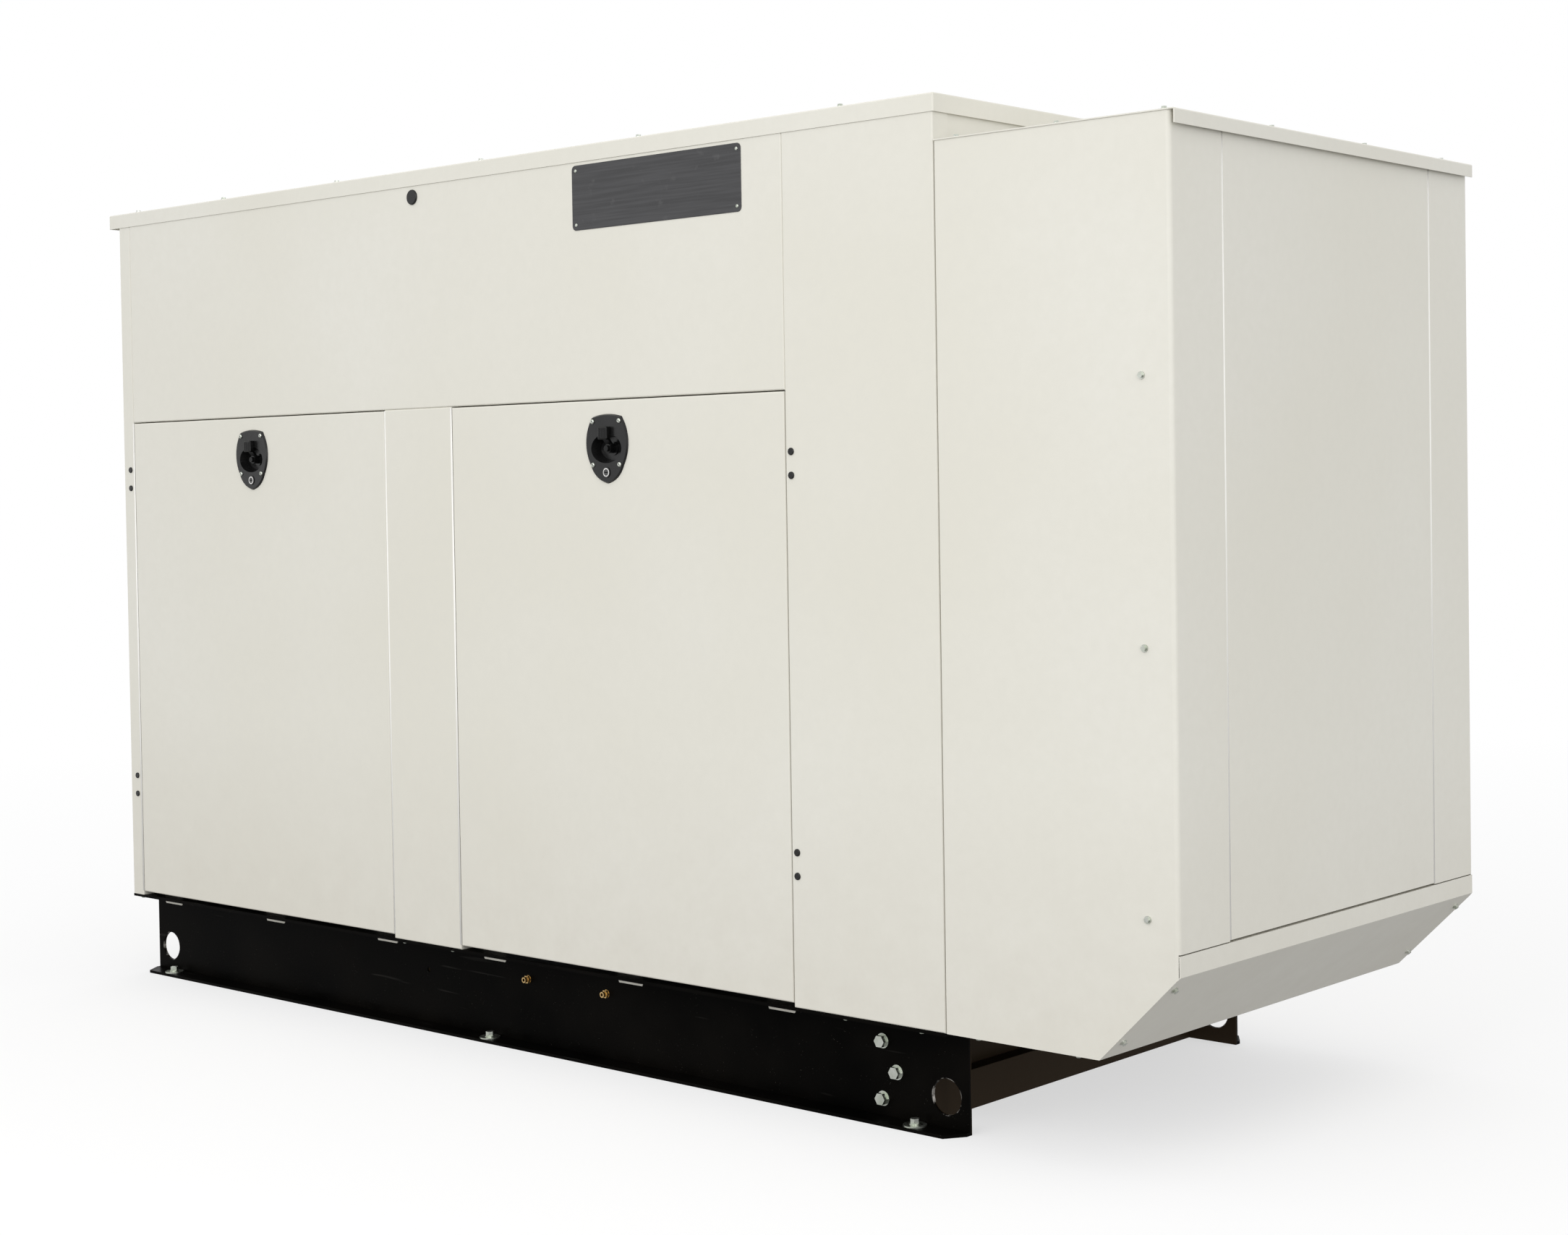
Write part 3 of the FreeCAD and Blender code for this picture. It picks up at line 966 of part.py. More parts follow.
def radiator_fan():
    """Six pitched blades on the water-pump hub, with the driven pulley."""
    hub = rod((FAN_X - 18, 0, FAN_Z), (1, 0, 0), 62, 46)
    shaft = rod((ENGINE_X1 - 8, 0, FAN_Z), (1, 0, 0), FAN_SHAFT_R, FAN_X - ENGINE_X1)
    pulley, groove = grooved_pulley(FAN_Z, FAN_PULLEY_R, FAN_GROOVE_R)
    blades = []
    for i in range(6):
        blade = prism([(-26, -14, 50), (-20, -18, 50), (26, 40, 50), (20, 44, 50)], (0, 0, FAN_R - 50))
        blade.Placement = FreeCAD.Placement(Vector(FAN_X + 4, 0, FAN_Z),
                                            FreeCAD.Rotation(Vector(1, 0, 0), 60 * i))
        blades.append(blade)
    rim = rod((FAN_X - 60, 0, FAN_Z), (1, 0, 0), FAN_R + 8, 140)
    blades = [blade.common(rim) for blade in blades]
    return fuse(hub, shaft, pulley, *blades).cut(groove)


# ---- electrics --------------------------------------------------------------------------------
def battery():
    """A starter battery with its lid, posts and hold-down bar."""
    x0, x1, y0, y1, z0, z1 = BATTERY
    case = box(x0, x1, y0, y1, z0, z1 - 28)
    lid = box(x0 - 3, x1 + 3, y0 - 3, y1 + 3, z1 - 28, z1)
    posts = [rod((x, y0 + 35, z1), (0, 0, 1), 9, 18) for x in (x0 + 40, x1 - 40)]
    strap = box((x0 + x1) / 2 - 12, (x0 + x1) / 2 + 12, y0 - 6, y1 + 6, z1, z1 + 5)
    return fuse(case, lid, strap, *posts)


def control_box():
    """The control cabinet on its stand, with its display window and breaker recess."""
    x0, x1, y0, y1, z0, z1 = CONTROL
    case = box(x0, x1, y0, y1, z0, z1)
    case = case.makeFillet(6.0, long_edges(case, "Z", 100))
    legs = [box(x, x + 24, y0, y0 + 40, CROSS_Z1, z0) for x in (416.0, 690.0)]
    bx, bz = BREAKER_AT
    recess = box(bx - 32, bx + 32, y0 - 1, y0 + 16, bz - 55, bz + 55)
    screen = box(x0 + 50, x0 + 210, y0 - 1, y0 + 3, z1 - 120, z1 - 35)
    button = rod((STOP_AT[0], y0 - 4, STOP_AT[1]), (0, 1, 0), BUTTON_R + FIT, 46)
    collar = rod((STOP_AT[0], y0 - 3, STOP_AT[1]), (0, 1, 0), 30, 4)
    mode = rod((MODE_AT[0], y0 - 1, MODE_AT[1]), (0, 1, 0), BUTTON_R + FIT, 30)
    pin = rod((bx - 40, y0 + 8, bz), (1, 0, 0), BREAKER_PIN_R, 80)
    return fuse(case, collar, *legs).cut([recess, screen, button, mode, pin])


def emergency_stop():
    """A mushroom push button."""
    x, z = STOP_AT
    y0 = CONTROL[2]
    stem = rod((x, y0 - 14, z), (0, 1, 0), BUTTON_R, 44)
    head = rod((x, y0 - 26, z), (0, 1, 0), 20, 14)
    head = head.makeFillet(5.0, edges_at(head, "Y", y0 - 26))
    return fuse(stem, head)


def mode_switch():
    """A rotary selector with a finger bar."""
    x, z = MODE_AT
    y0 = CONTROL[2]
    stem = rod((x, y0 - 4, z), (0, 1, 0), BUTTON_R, 30)
    base = rod((x, y0 - 8, z), (0, 1, 0), 19, 7.5)
    bar = box(x - 5, x + 5, y0 - 22, y0 - 4, z - 18, z + 18)
    return fuse(stem, base, bar)


def breaker_lever():
    """The main breaker's toggle on its cross pin."""
    x, z = BREAKER_AT
    y0 = CONTROL[2]
    pin = rod((x - 39, y0 + 8, z), (1, 0, 0), BREAKER_PIN_R - FIT, 78)
    lever = prism([(x - 14, y0 + 8, z - 5), (x - 14, y0 - 16, z - 6), (x - 14, y0 - 20, z),
                   (x - 14, y0 - 16, z + 6), (x - 14, y0 + 8, z + 5)], (28, 0, 0))
    lever.rotate(Vector(x, y0 + 8, z), Vector(1, 0, 0), BREAKER_REST)
    return fuse(pin, lever, rod((x - 14, y0 + 8, z), (1, 0, 0), 7, 28))


# ---- every piece ------------------------------------------------------------------------------
def build():
    """Every node's name and shape, in skid coordinates."""
    nodes = {
        "base_rail_front": base_rail(-1),
        "base_rail_rear": base_rail(1),
        "cross_members": cross_members(),
        "cross_member_discharge": cross_member_discharge(),
        "frame_bolts": frame_bolts(),
        "anchor_bolts": anchor_bolts(),
        "drain_fittings": drain_fittings(),
        "intake_end_panel": intake_end_panel(),
        "main_roof": main_roof(),
        "panel_screws": panel_screws(),
        "hole_plugs": hole_plugs(),
        "discharge_bulkhead": discharge_bulkhead(),
        "hood_end_panel": hood_end_panel(),
        "hood_scoop": hood_scoop(),
        "hood_roof": hood_roof(),
        "engine_block": engine_block(),
        "cylinder_head": cylinder_head(),
        "oil_pan": oil_pan(),
        "alternator_housing": alternator_housing(),
        "crankshaft_rotor": crankshaft_rotor(),
        "vibration_mounts": vibration_mounts(),
        "intake_manifold": intake_manifold(),
        "exhaust_pipe": exhaust_pipe(),
        "muffler": muffler(),
        "radiator": radiator(),
        "coolant_hoses": coolant_hoses(),
        "drive_belt": drive_belt(),
        "fan_shroud": fan_shroud(),
        "radiator_fan": radiator_fan(),
        "battery": battery(),
        "control_box": control_box(),
        "emergency_stop": emergency_stop(),
        "mode_switch": mode_switch(),
        "breaker_lever": breaker_lever(),
    }
    for name, side in (("front", -1), ("rear", 1)):
        nodes["corner_post_" + name] = corner_post(side)
        nodes["centre_post_" + name] = centre_post(side)
        nodes["upper_panel_" + name] = upper_panel(side)
        nodes["side_panel_" + name] = side_panel(side)
        nodes["hood_side_" + name] = hood_side(side)
    for place, (x0, x1, side) in DOORS.items():
        centre = (x0 + x1) / 2
        nodes["door_" + place] = door(x0, x1, side)
        nodes["latch_plate_" + place] = latch_plate(centre, side)
        nodes["latch_handle_" + place] = latch_handle(centre, side)
        nodes["lock_cylinder_" + place] = lock_cylinder(centre, side)
    return nodes


def main():
    """Write one STEP file for each node."""
    os.makedirs("parts", exist_ok=True)
    for name, shape in sorted(build().items()):
        moved = shape.translated(Vector(-ORIGIN_X, 0, 0))
        solids = moved.Solids
        print(name, len(solids), "solids", round(moved.Volume), "mm3", "valid" if moved.isValid() else "BAD")
        moved.exportStep("parts/" + name + ".step")


main()
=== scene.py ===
import json
import math

import bmesh
import bpy
from mathutils import Matrix, Vector


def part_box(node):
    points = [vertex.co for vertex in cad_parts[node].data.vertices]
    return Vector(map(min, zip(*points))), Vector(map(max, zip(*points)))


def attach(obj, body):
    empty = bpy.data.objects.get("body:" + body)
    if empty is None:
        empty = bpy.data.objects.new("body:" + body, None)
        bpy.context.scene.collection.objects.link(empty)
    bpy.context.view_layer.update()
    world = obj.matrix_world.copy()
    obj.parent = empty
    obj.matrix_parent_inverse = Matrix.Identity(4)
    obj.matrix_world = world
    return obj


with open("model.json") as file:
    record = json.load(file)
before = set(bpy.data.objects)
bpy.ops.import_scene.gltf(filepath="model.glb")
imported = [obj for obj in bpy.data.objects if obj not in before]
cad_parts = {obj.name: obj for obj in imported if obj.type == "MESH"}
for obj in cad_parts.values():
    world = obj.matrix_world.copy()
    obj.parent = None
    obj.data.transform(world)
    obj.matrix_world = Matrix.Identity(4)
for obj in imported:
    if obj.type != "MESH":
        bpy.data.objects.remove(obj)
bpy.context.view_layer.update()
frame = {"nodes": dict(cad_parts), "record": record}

# Looks for a home standby generator.  Lengths are metres in the frame's own axes: +X along the skid,
# -Y out of the front, +Z up, with the floor at zero.

NODES = frame["nodes"]
SLOTS = {part["node"]: part["material_slot"] for part in frame["record"]["subparts"]}
MOUNTS = {mount["name"]: Vector(mount["pos_m"]) for mount in frame["record"]["mounts"]}
DOORS = (("front_left", -1), ("front_right", -1), ("rear_left", 1), ("rear_right", 1))

# ---- camera and studio ------------------------------------------------------------------------
CAMERA_AT = (3.4535, -3.5848, 1.0828)
CAMERA_HEADING = 41.06        # degrees left of +Y
CAMERA_TILT = -1.42
CAMERA_ROLL = -0.876
SENSOR = 36.0                 # millimetres
LENS = 55.97
SHIFT = (-0.0356, -0.0451)

FLOOR_RADIUS = 60.0
FLOOR_ALBEDO = (0.90, 0.90, 0.905)
FLOOR_GLOW = 0.62             # share of the floor that is evenly lit paper
FLOOR_FADE = (2.0, 6.0)       # distances over which the floor turns into the surround
SKY = 1.0                     # light from above the horizon
GROUND = 0.40                 # light bounced up by the floor
HORIZON = (-0.35, -0.05)      # heights of view between which one becomes the other
LAMPS = (                     # name, place, aim, size and watts
    ("key", (1.35, -5.4, 3.4), (0.3, 0.0, 0.9), (3.8, 3.0), 89.0),
    ("strip", (5.0, -3.2, 1.6), (1.0, -0.3, 0.9), (0.35, 2.4), 26.0),
)

# ---- trim -------------------------------------------------------------------------------------
ALONG_Y = (1.0, 0.0, 1.0)     # measures how far a place is from a line along Y
LOCK_DROP = 0.044             # the lock's axis below the latch's
LOCK_FACE = (0.0058, 0.0064)  # radius of the dark face inside the lock's bright ring, and its edge
PLATE_SCREWS = ((-0.035, 0.050), (0.035, 0.050), (-0.035, -0.030), (0.035, -0.030))
PLATE_SINK = 0.0025           # the screws' seats below the plate's highest face
LABEL_SIZE = (0.430, 0.120)
LABEL_EDGE = (0.094, 0.035)   # from the upper panel's right and top edges
LABEL_THICK = 0.0012
LABEL_CORNER = 0.009
RIVET_INSET = 0.010
DOORWAY_RISE = 0.010          # the lowest fold of a door above the foot of the posts
BOARD_THICK = 0.024
BOARD_SEAT = 0.0022           # the board's back inside the door's outer face
BOARD_EDGE = 0.008
CLIPS_ACROSS = (0.12, 0.5, 0.88)
CLIPS_UP = (0.10, 0.40, 0.64, 0.94)
CUTOUT = (0.056, 0.072)       # half size of the hole round a latch
# the seam beads carry a painted highlight of the sheet's bends
BEAD_WIDE = 0.0026            # half sizes
BEAD_DEEP = 0.0010
BEAD_SIDES = 20
TURNED_SIDES = 28
BEAD_SUNK = 0.0007            # its middle below the sheet's face
BEAD_INSET = 0.0010           # its middle from the post's edge, so that it stays out of the door's way


def camera():
    """The camera at the photograph's viewpoint."""
    data = bpy.data.cameras.new("camera")
    data.sensor_width = SENSOR
    data.lens = LENS
    data.shift_x, data.shift_y = SHIFT
    data.clip_end = 200.0
    eye = bpy.data.objects.new("camera", data)
    bpy.context.collection.objects.link(eye)
    turn = (Matrix.Rotation(math.radians(CAMERA_HEADING), 4, "Z")
            @ Matrix.Rotation(math.radians(90.0 + CAMERA_TILT), 4, "X")
            @ Matrix.Rotation(math.radians(CAMERA_ROLL), 4, "Z"))
    eye.matrix_world = Matrix.Translation(CAMERA_AT) @ turn
    bpy.context.scene.camera = eye


def area_light(name, at, aim, size, power):
    """A soft rectangular lamp pointed at a place."""
    data = bpy.data.lights.new(name, "AREA")
    data.shape = "RECTANGLE"
    data.size, data.size_y = size
    data.energy = power
    lamp = bpy.data.objects.new(name, data)
    bpy.context.collection.objects.link(lamp)
    lamp.location = at
    lamp.rotation_euler = (Vector(aim) - Vector(at)).to_track_quat("-Z", "Y").to_euler()


def surround():
    """Even white light from above, and less of it from below."""
    world = bpy.data.worlds.new("surround")
    bpy.context.scene.world = world
    world.use_nodes = True
    nodes = world.node_tree.nodes
    links = world.node_tree.links
    split = nodes.new("ShaderNodeSeparateXYZ")
    links.new(nodes.new("ShaderNodeTexCoord").outputs["Generated"], split.inputs[0])
    fade = nodes.new("ShaderNodeMapRange")
    fade.inputs["From Min"].default_value = HORIZON[0]
    fade.inputs["From Max"].default_value = HORIZON[1]
    fade.inputs["To Min"].default_value = GROUND
    fade.inputs["To Max"].default_value = SKY
    links.new(split.outputs["Z"], fade.inputs["Value"])
    back = nodes["Background"]
    back.inputs["Color"].default_value = (1.0, 1.0, 1.0, 1.0)
    links.new(fade.outputs["Result"], back.inputs["Strength"])


def studio():
    """A pale paper floor, the surround and the lamps."""
    bpy.context.scene.view_settings.view_transform = "Standard"
    surround()
    for lamp in LAMPS:
        area_light(*lamp)
    bm = bmesh.new()
    bmesh.ops.create_circle(bm, cap_ends=True, segments=96, radius=FLOOR_RADIUS)
    mesh = bpy.data.meshes.new("floor")
    bm.to_mesh(mesh)
    bm.free()
    floor = bpy.data.objects.new("floor", mesh)
    bpy.context.collection.objects.link(floor)
    floor.data.materials.append(floor_material())
    floor.visible_diffuse = False
    floor.visible_glossy = False


def floor_material():
    """White paper with a faint contact shadow, which fades into the surround far from the object."""
    paper = Shader("studio_paper", FLOOR_ALBEDO, 0.9, specular=0.0)
    tree = paper.tree
    glow = tree.nodes.new("ShaderNodeEmission")
    far = tree.nodes.new("ShaderNodeVectorMath")
    far.operation = "LENGTH"
    tree.links.new(paper.where, far.inputs[0])
    fade = paper.spread(far.outputs["Value"], *FLOOR_FADE, FLOOR_GLOW, 1.0)
    join = tree.nodes.new("ShaderNodeMixShader")
    tree.links.new(fade, join.inputs[0])
    tree.links.new(paper.surface.outputs[0], join.inputs[1])
    tree.links.new(glow.outputs[0], join.inputs[2])
    tree.links.new(join.outputs[0], tree.nodes["Material Output"].inputs["Surface"])
    return paper.material


# ---- shader building --------------------------------------------------------------------------
class Shader:
    """A Principled material, with short calls that add procedural texture to it."""

    def __init__(self, name, colour, roughness, metallic=0.0, specular=0.5):
        self.material = bpy.data.materials.new(name)
        self.material.use_nodes = True
        self.tree = self.material.node_tree
        self.surface = self.tree.nodes["Principled BSDF"]
        self.surface.inputs["Base Color"].default_value = (*colour, 1.0)
        self.surface.inputs["Roughness"].default_value = roughness
        self.surface.inputs["Metallic"].default_value = metallic
        self.surface.inputs["Specular IOR Level"].default_value = specular
        self.where = self.tree.nodes.new("ShaderNodeTexCoord").outputs["Object"]
        self.relief = None

    def link(self, value, socket):
        """Feeds a socket from another."""
        self.tree.links.new(value, socket)

    def squeezed(self, stretch):
        """The object's coordinates, scaled along each axis."""
        place = self.tree.nodes.new("ShaderNodeMapping")
        place.inputs["Scale"].default_value = stretch
        self.link(self.where, place.inputs["Vector"])
        return place.outputs[0]

    def noise(self, scale, detail=3.0, grain=0.5, stretch=(1.0, 1.0, 1.0)):
        """Cloudy noise; stretch squeezes it along an axis."""
        node = self.tree.nodes.new("ShaderNodeTexNoise")
        node.inputs["Scale"].default_value = scale
        node.inputs["Detail"].default_value = detail
        node.inputs["Roughness"].default_value = grain
        self.link(self.squeezed(stretch), node.inputs["Vector"])
        return node.outputs["Fac"]

    def cells(self, scale):
        """Distance to scattered points."""
        node = self.tree.nodes.new("ShaderNodeTexVoronoi")
        node.inputs["Scale"].default_value = scale
        self.link(self.where, node.inputs["Vector"])
        return node.outputs["Distance"]

    def bands(self, scale, axis, wobble=0.0):
        """Straight bands across an axis."""
        node = self.tree.nodes.new("ShaderNodeTexWave")
        node.wave_type = "BANDS"
        node.bands_direction = axis
        node.inputs["Scale"].default_value = scale
        node.inputs["Distortion"].default_value = wobble
        self.link(self.where, node.inputs["Vector"])
        return node.outputs["Fac"]

    def axis(self, name):
        """One of the object's coordinates."""
        node = self.tree.nodes.new("ShaderNodeSeparateXYZ")
        self.link(self.where, node.inputs[0])
        return node.outputs[name]

    def away(self, point, stretch):
        """Distance from a point, leaving out any axis whose stretch is zero."""
        shift = self.tree.nodes.new("ShaderNodeVectorMath")
        shift.operation = "SUBTRACT"
        shift.inputs[1].default_value = point
        self.link(self.where, shift.inputs[0])
        scale = self.tree.nodes.new("ShaderNodeVectorMath")
        scale.operation = "MULTIPLY"
        scale.inputs[1].default_value = stretch
        self.link(shift.outputs["Vector"], scale.inputs[0])
        length = self.tree.nodes.new("ShaderNodeVectorMath")
        length.operation = "LENGTH"
        self.link(scale.outputs["Vector"], length.inputs[0])
        return length.outputs["Value"]

    def spread(self, value, low, high, to_low=0.0, to_high=1.0):
        """Maps one range of values to another, clamped."""
        node = self.tree.nodes.new("ShaderNodeMapRange")
        node.inputs["From Min"].default_value = low
        node.inputs["From Max"].default_value = high
        node.inputs["To Min"].default_value = to_low
        node.inputs["To Max"].default_value = to_high
        self.link(value, node.inputs["Value"])
        return node.outputs["Result"]

    def math(self, operation, first, second=0.0):
        """Arithmetic on a socket and a number or second socket; some operations use only the first."""
        node = self.tree.nodes.new("ShaderNodeMath")
        node.operation = operation
        self.link(first, node.inputs[0])
        if isinstance(second, float):
            node.inputs[1].default_value = second
        else:
            self.link(second, node.inputs[1])
        return node.outputs[0]

    def mix(self, factor, first, second):
        """A colour between two colours or sockets."""
        node = self.tree.nodes.new("ShaderNodeMix")
        node.data_type = "RGBA"
        self.link(factor, node.inputs["Factor"])
        for index, value in ((6, first), (7, second)):
            if isinstance(value, tuple):
                node.inputs[index].default_value = (*value, 1.0)
            else:
                self.link(value, node.inputs[index])
        return node.outputs[2]

    def colour(self, value):
        """Drives the base colour."""
        self.link(value, self.surface.inputs["Base Color"])

    def roughness(self, value):
        """Drives the roughness."""
        self.link(value, self.surface.inputs["Roughness"])

    def metal(self, value):
        """Drives how metallic the surface is."""
        self.link(value, self.surface.inputs["Metallic"])

    def bump(self, height, depth, strength=1.0):
        """Adds relief of a depth in metres on top of any there is."""
        node = self.tree.nodes.new("ShaderNodeBump")
        node.inputs["Strength"].default_value = strength
        node.inputs["Distance"].default_value = depth
        self.link(height, node.inputs["Height"])
        if self.relief is not None:
            self.link(self.relief, node.inputs["Normal"])
        self.relief = node.outputs["Normal"]
        self.link(self.relief, self.surface.inputs["Normal"])


# ---- materials --------------------------------------------------------------------------------
def panel_paint():
    """Warm white powder coat: orange peel, slightly uneven sheet, darker and warmer in patches low down."""
    paint = Shader("panel_paint", (0.74, 0.725, 0.655), 0.38, specular=0.45)
    tone = paint.spread(paint.noise(1.3, 3.0), 0.35, 0.65)
    body = paint.mix(tone, (0.722, 0.704, 0.625), (0.748, 0.734, 0.668))
    mottle = paint.spread(paint.noise(55.0, 5.0, 0.6), 0.3, 0.7)
    body = paint.mix(paint.math("MULTIPLY", mottle, 0.35), body, (0.69, 0.676, 0.605))
    # darker and warmer towards the bottom, in patches
    low = paint.spread(paint.axis("Z"), 0.16, 0.62, 0.62, 0.0)
    dust = paint.math("MULTIPLY", low, paint.spread(paint.noise(14.0, 5.0, 0.7), 0.2, 0.8, 0.35, 1.0))
    paint.colour(paint.mix(dust, body, (0.60, 0.57, 0.50)))
    paint.roughness(paint.spread(paint.noise(9.0, 4.0), 0.2, 0.8, 0.33, 0.44))
    paint.bump(paint.noise(330.0, 1.0), 0.00004)
    paint.bump(paint.noise(2.2, 1.0), 0.003, 0.2)
    return paint.material


def skid_paint():
    """Black chassis enamel: dust specks, faint scratches, browner between the rails, rubbed lifting holes."""
    paint = Shader("skid_paint", (0.004, 0.0035, 0.003), 0.4, specular=0.02)
    tone = paint.spread(paint.noise(6.0, 4.0), 0.35, 0.7)
    body = paint.mix(tone, (0.0012, 0.0011, 0.0009), (0.0036, 0.0031, 0.0025))
    specks = paint.spread(paint.cells(190.0), 0.05, 0.11, 0.45, 0.0)
    sparse = paint.spread(paint.noise(26.0, 4.0), 0.50, 0.70)
    body = paint.mix(paint.math("MULTIPLY", specks, sparse), body, (0.24, 0.22, 0.19))
    scratch = paint.spread(paint.noise(70.0, 2.0, 0.5, (0.06, 1.0, 1.0)), 0.68, 0.72, 0.0, 0.2)
    body = paint.mix(scratch, body, (0.05, 0.047, 0.043))
    from_middle = paint.math("ABSOLUTE", paint.axis("Y"))
    web = MOUNTS["lift_hole_rear_intake"].y
    body = paint.mix(paint.spread(from_middle, web - 0.002, web, 1.0, 0.0), body, (0.030, 0.021, 0.013))
    holes = [paint.away(MOUNTS["lift_hole_front_" + end], ALONG_Y) for end in ("intake", "discharge")]
    rings = [paint.spread(hole, 0.0312, 0.0325, 1.0, 0.0) for hole in holes]
    rubbed = paint.math("MAXIMUM", *rings)
    patchy = paint.spread(paint.noise(48.0, 4.0), 0.50, 0.62)
    bare = paint.math("MULTIPLY", rubbed, patchy)
    paint.colour(paint.mix(bare, body, (0.42, 0.40, 0.37)))
    paint.metal(paint.math("MULTIPLY", bare, 0.9))
    paint.roughness(paint.spread(paint.noise(12.0, 4.0), 0.3, 0.7, 0.28, 0.46))
    paint.bump(paint.noise(260.0, 2.0), 0.00015)
    paint.bump(paint.noise(30.0, 3.0), 0.0004, 0.4)
    return paint.material


def zinc():
    """Bright zinc plate with a faint green-yellow passivation."""
    plate = Shader("zinc", (0.58, 0.59, 0.55), 0.24, metallic=1.0)
    hue = plate.spread(plate.noise(45.0, 3.0), 0.35, 0.65)
    body = plate.mix(hue, (0.66, 0.68, 0.63), (0.50, 0.54, 0.46))
    spots = plate.spread(plate.noise(160.0, 4.0, 0.7), 0.60, 0.72)
    plate.colour(plate.mix(spots, body, (0.36, 0.36, 0.33)))
    plate.roughness(plate.spread(plate.noise(120.0, 3.0), 0.3, 0.7, 0.22, 0.42))
    plate.bump(plate.noise(700.0, 2.0), 0.00006)
    return plate.material


def brass():
    """Machined brass, dulled in patches."""
    metal = Shader("brass", (0.70, 0.50, 0.22), 0.3, metallic=1.0)
    dull = metal.spread(metal.noise(90.0, 4.0, 0.6), 0.42, 0.66)
    metal.colour(metal.mix(dull, (0.76, 0.56, 0.26), (0.46, 0.30, 0.13)))
    metal.roughness(metal.spread(metal.noise(140.0, 3.0), 0.3, 0.7, 0.24, 0.46))
    metal.bump(metal.bands(160.0, "Y"), 0.00004)
    return metal.material


def moulded(name, dark, light, shine, grain, specular=0.5):
    """A moulded plastic: fine spark-eroded grain, handled smooth in patches."""
    plastic = Shader(name, dark, shine, specular=specular)
    tone = plastic.spread(plastic.noise(24.0, 4.0), 0.35, 0.68)
    plastic.colour(plastic.mix(tone, dark, light))
    plastic.roughness(plastic.spread(plastic.noise(38.0, 4.0), 0.3, 0.7, shine - 0.06, shine + 0.10))
    plastic.bump(plastic.noise(1100.0, 2.0), grain)
    return plastic


def latch_handle():
    """The lever's black plastic, greyed where fingers rub it."""
    plastic = moulded("latch_handle", (0.007, 0.007, 0.007), (0.012, 0.012, 0.012), 0.26, 0.00004, 0.25)
    rub = plastic.spread(plastic.noise(150.0, 3.0, 0.6, (1.0, 1.0, 0.3)), 0.60, 0.70, 0.0, 0.5)
    plastic.colour(plastic.mix(rub, (0.005, 0.005, 0.005), (0.022, 0.022, 0.023)))
    return plastic.material


def battery_case():
    """Black polypropylene with a paler lid and faint dust on it."""
    plastic = moulded("battery_case", (0.018, 0.018, 0.020), (0.030, 0.030, 0.032), 0.5, 0.0001)
    lid = plastic.spread(plastic.axis("Z"), 0.345, 0.347)
    body = plastic.mix(lid, (0.018, 0.018, 0.020), (0.055, 0.055, 0.060))
    dust = plastic.spread(plastic.noise(20.0, 5.0, 0.7), 0.5, 0.8, 0.0, 0.4)
    plastic.colour(plastic.mix(dust, body, (0.16, 0.155, 0.14)))
    plastic.bump(plastic.bands(40.0, "Z"), 0.0006, 0.3)
    return plastic.material


def lock_metal():
    """Bright chrome with fine key scratches, dark inside its ring."""
    chrome = Shader("lock_metal", (0.80, 0.79, 0.77), 0.16, metallic=1.0)
    marks = chrome.spread(chrome.noise(420.0, 2.0, 0.5, (1.0, 1.0, 0.08)), 0.58, 0.66)
    body = chrome.mix(marks, (0.82, 0.81, 0.79), (0.58, 0.57, 0.55))
    locks = [latch_at(door) - Vector((0.0, 0.0, LOCK_DROP)) for door in ("front_left", "front_right")]
    near = chrome.math("MINIMUM", *(chrome.away(lock, ALONG_Y) for lock in locks))
    chrome.colour(chrome.mix(chrome.spread(near, *LOCK_FACE), (0.10, 0.10, 0.10), body))
    chrome.roughness(chrome.spread(chrome.noise(200.0, 3.0), 0.3, 0.7, 0.12, 0.30))
    chrome.bump(marks, 0.00003)
    return chrome.material


def engine_iron():
    """Grey enamel over a sand casting, with patches of oil film."""
    paint = Shader("engine_iron", (0.20, 0.21, 0.22), 0.45, specular=0.5)
    tone = paint.spread(paint.noise(8.0, 4.0), 0.35, 0.65)
    body = paint.mix(tone, (0.17, 0.18, 0.19), (0.25, 0.26, 0.27))
    oil = paint.spread(paint.noise(11.0, 5.0, 0.7, (1.0, 1.0, 0.35)), 0.56, 0.70, 0.0, 0.8)
    paint.colour(paint.mix(oil, body, (0.060, 0.052, 0.042)))
    paint.roughness(paint.spread(oil, 0.0, 0.8, 0.50, 0.22))
    paint.bump(paint.noise(240.0, 4.0, 0.7), 0.0006)
    paint.bump(paint.noise(16.0, 2.0), 0.002, 0.4)
    return paint.material


def engine_alloy():
    """Cast aluminium, sandblasted, dulled and stained in patches."""
    metal = Shader("engine_alloy", (0.56, 0.57, 0.58), 0.42, metallic=0.9)
    tone = metal.spread(metal.noise(14.0, 4.0), 0.35, 0.65)
    body = metal.mix(tone, (0.48, 0.49, 0.50), (0.64, 0.65, 0.66))
    stain = metal.spread(metal.noise(26.0, 5.0, 0.7), 0.58, 0.72, 0.0, 0.6)
    metal.colour(metal.mix(stain, body, (0.26, 0.24, 0.21)))
    metal.roughness(metal.spread(metal.noise(60.0, 3.0), 0.3, 0.7, 0.34, 0.56))
    metal.bump(metal.noise(520.0, 3.0, 0.7), 0.0003)
    return metal.material


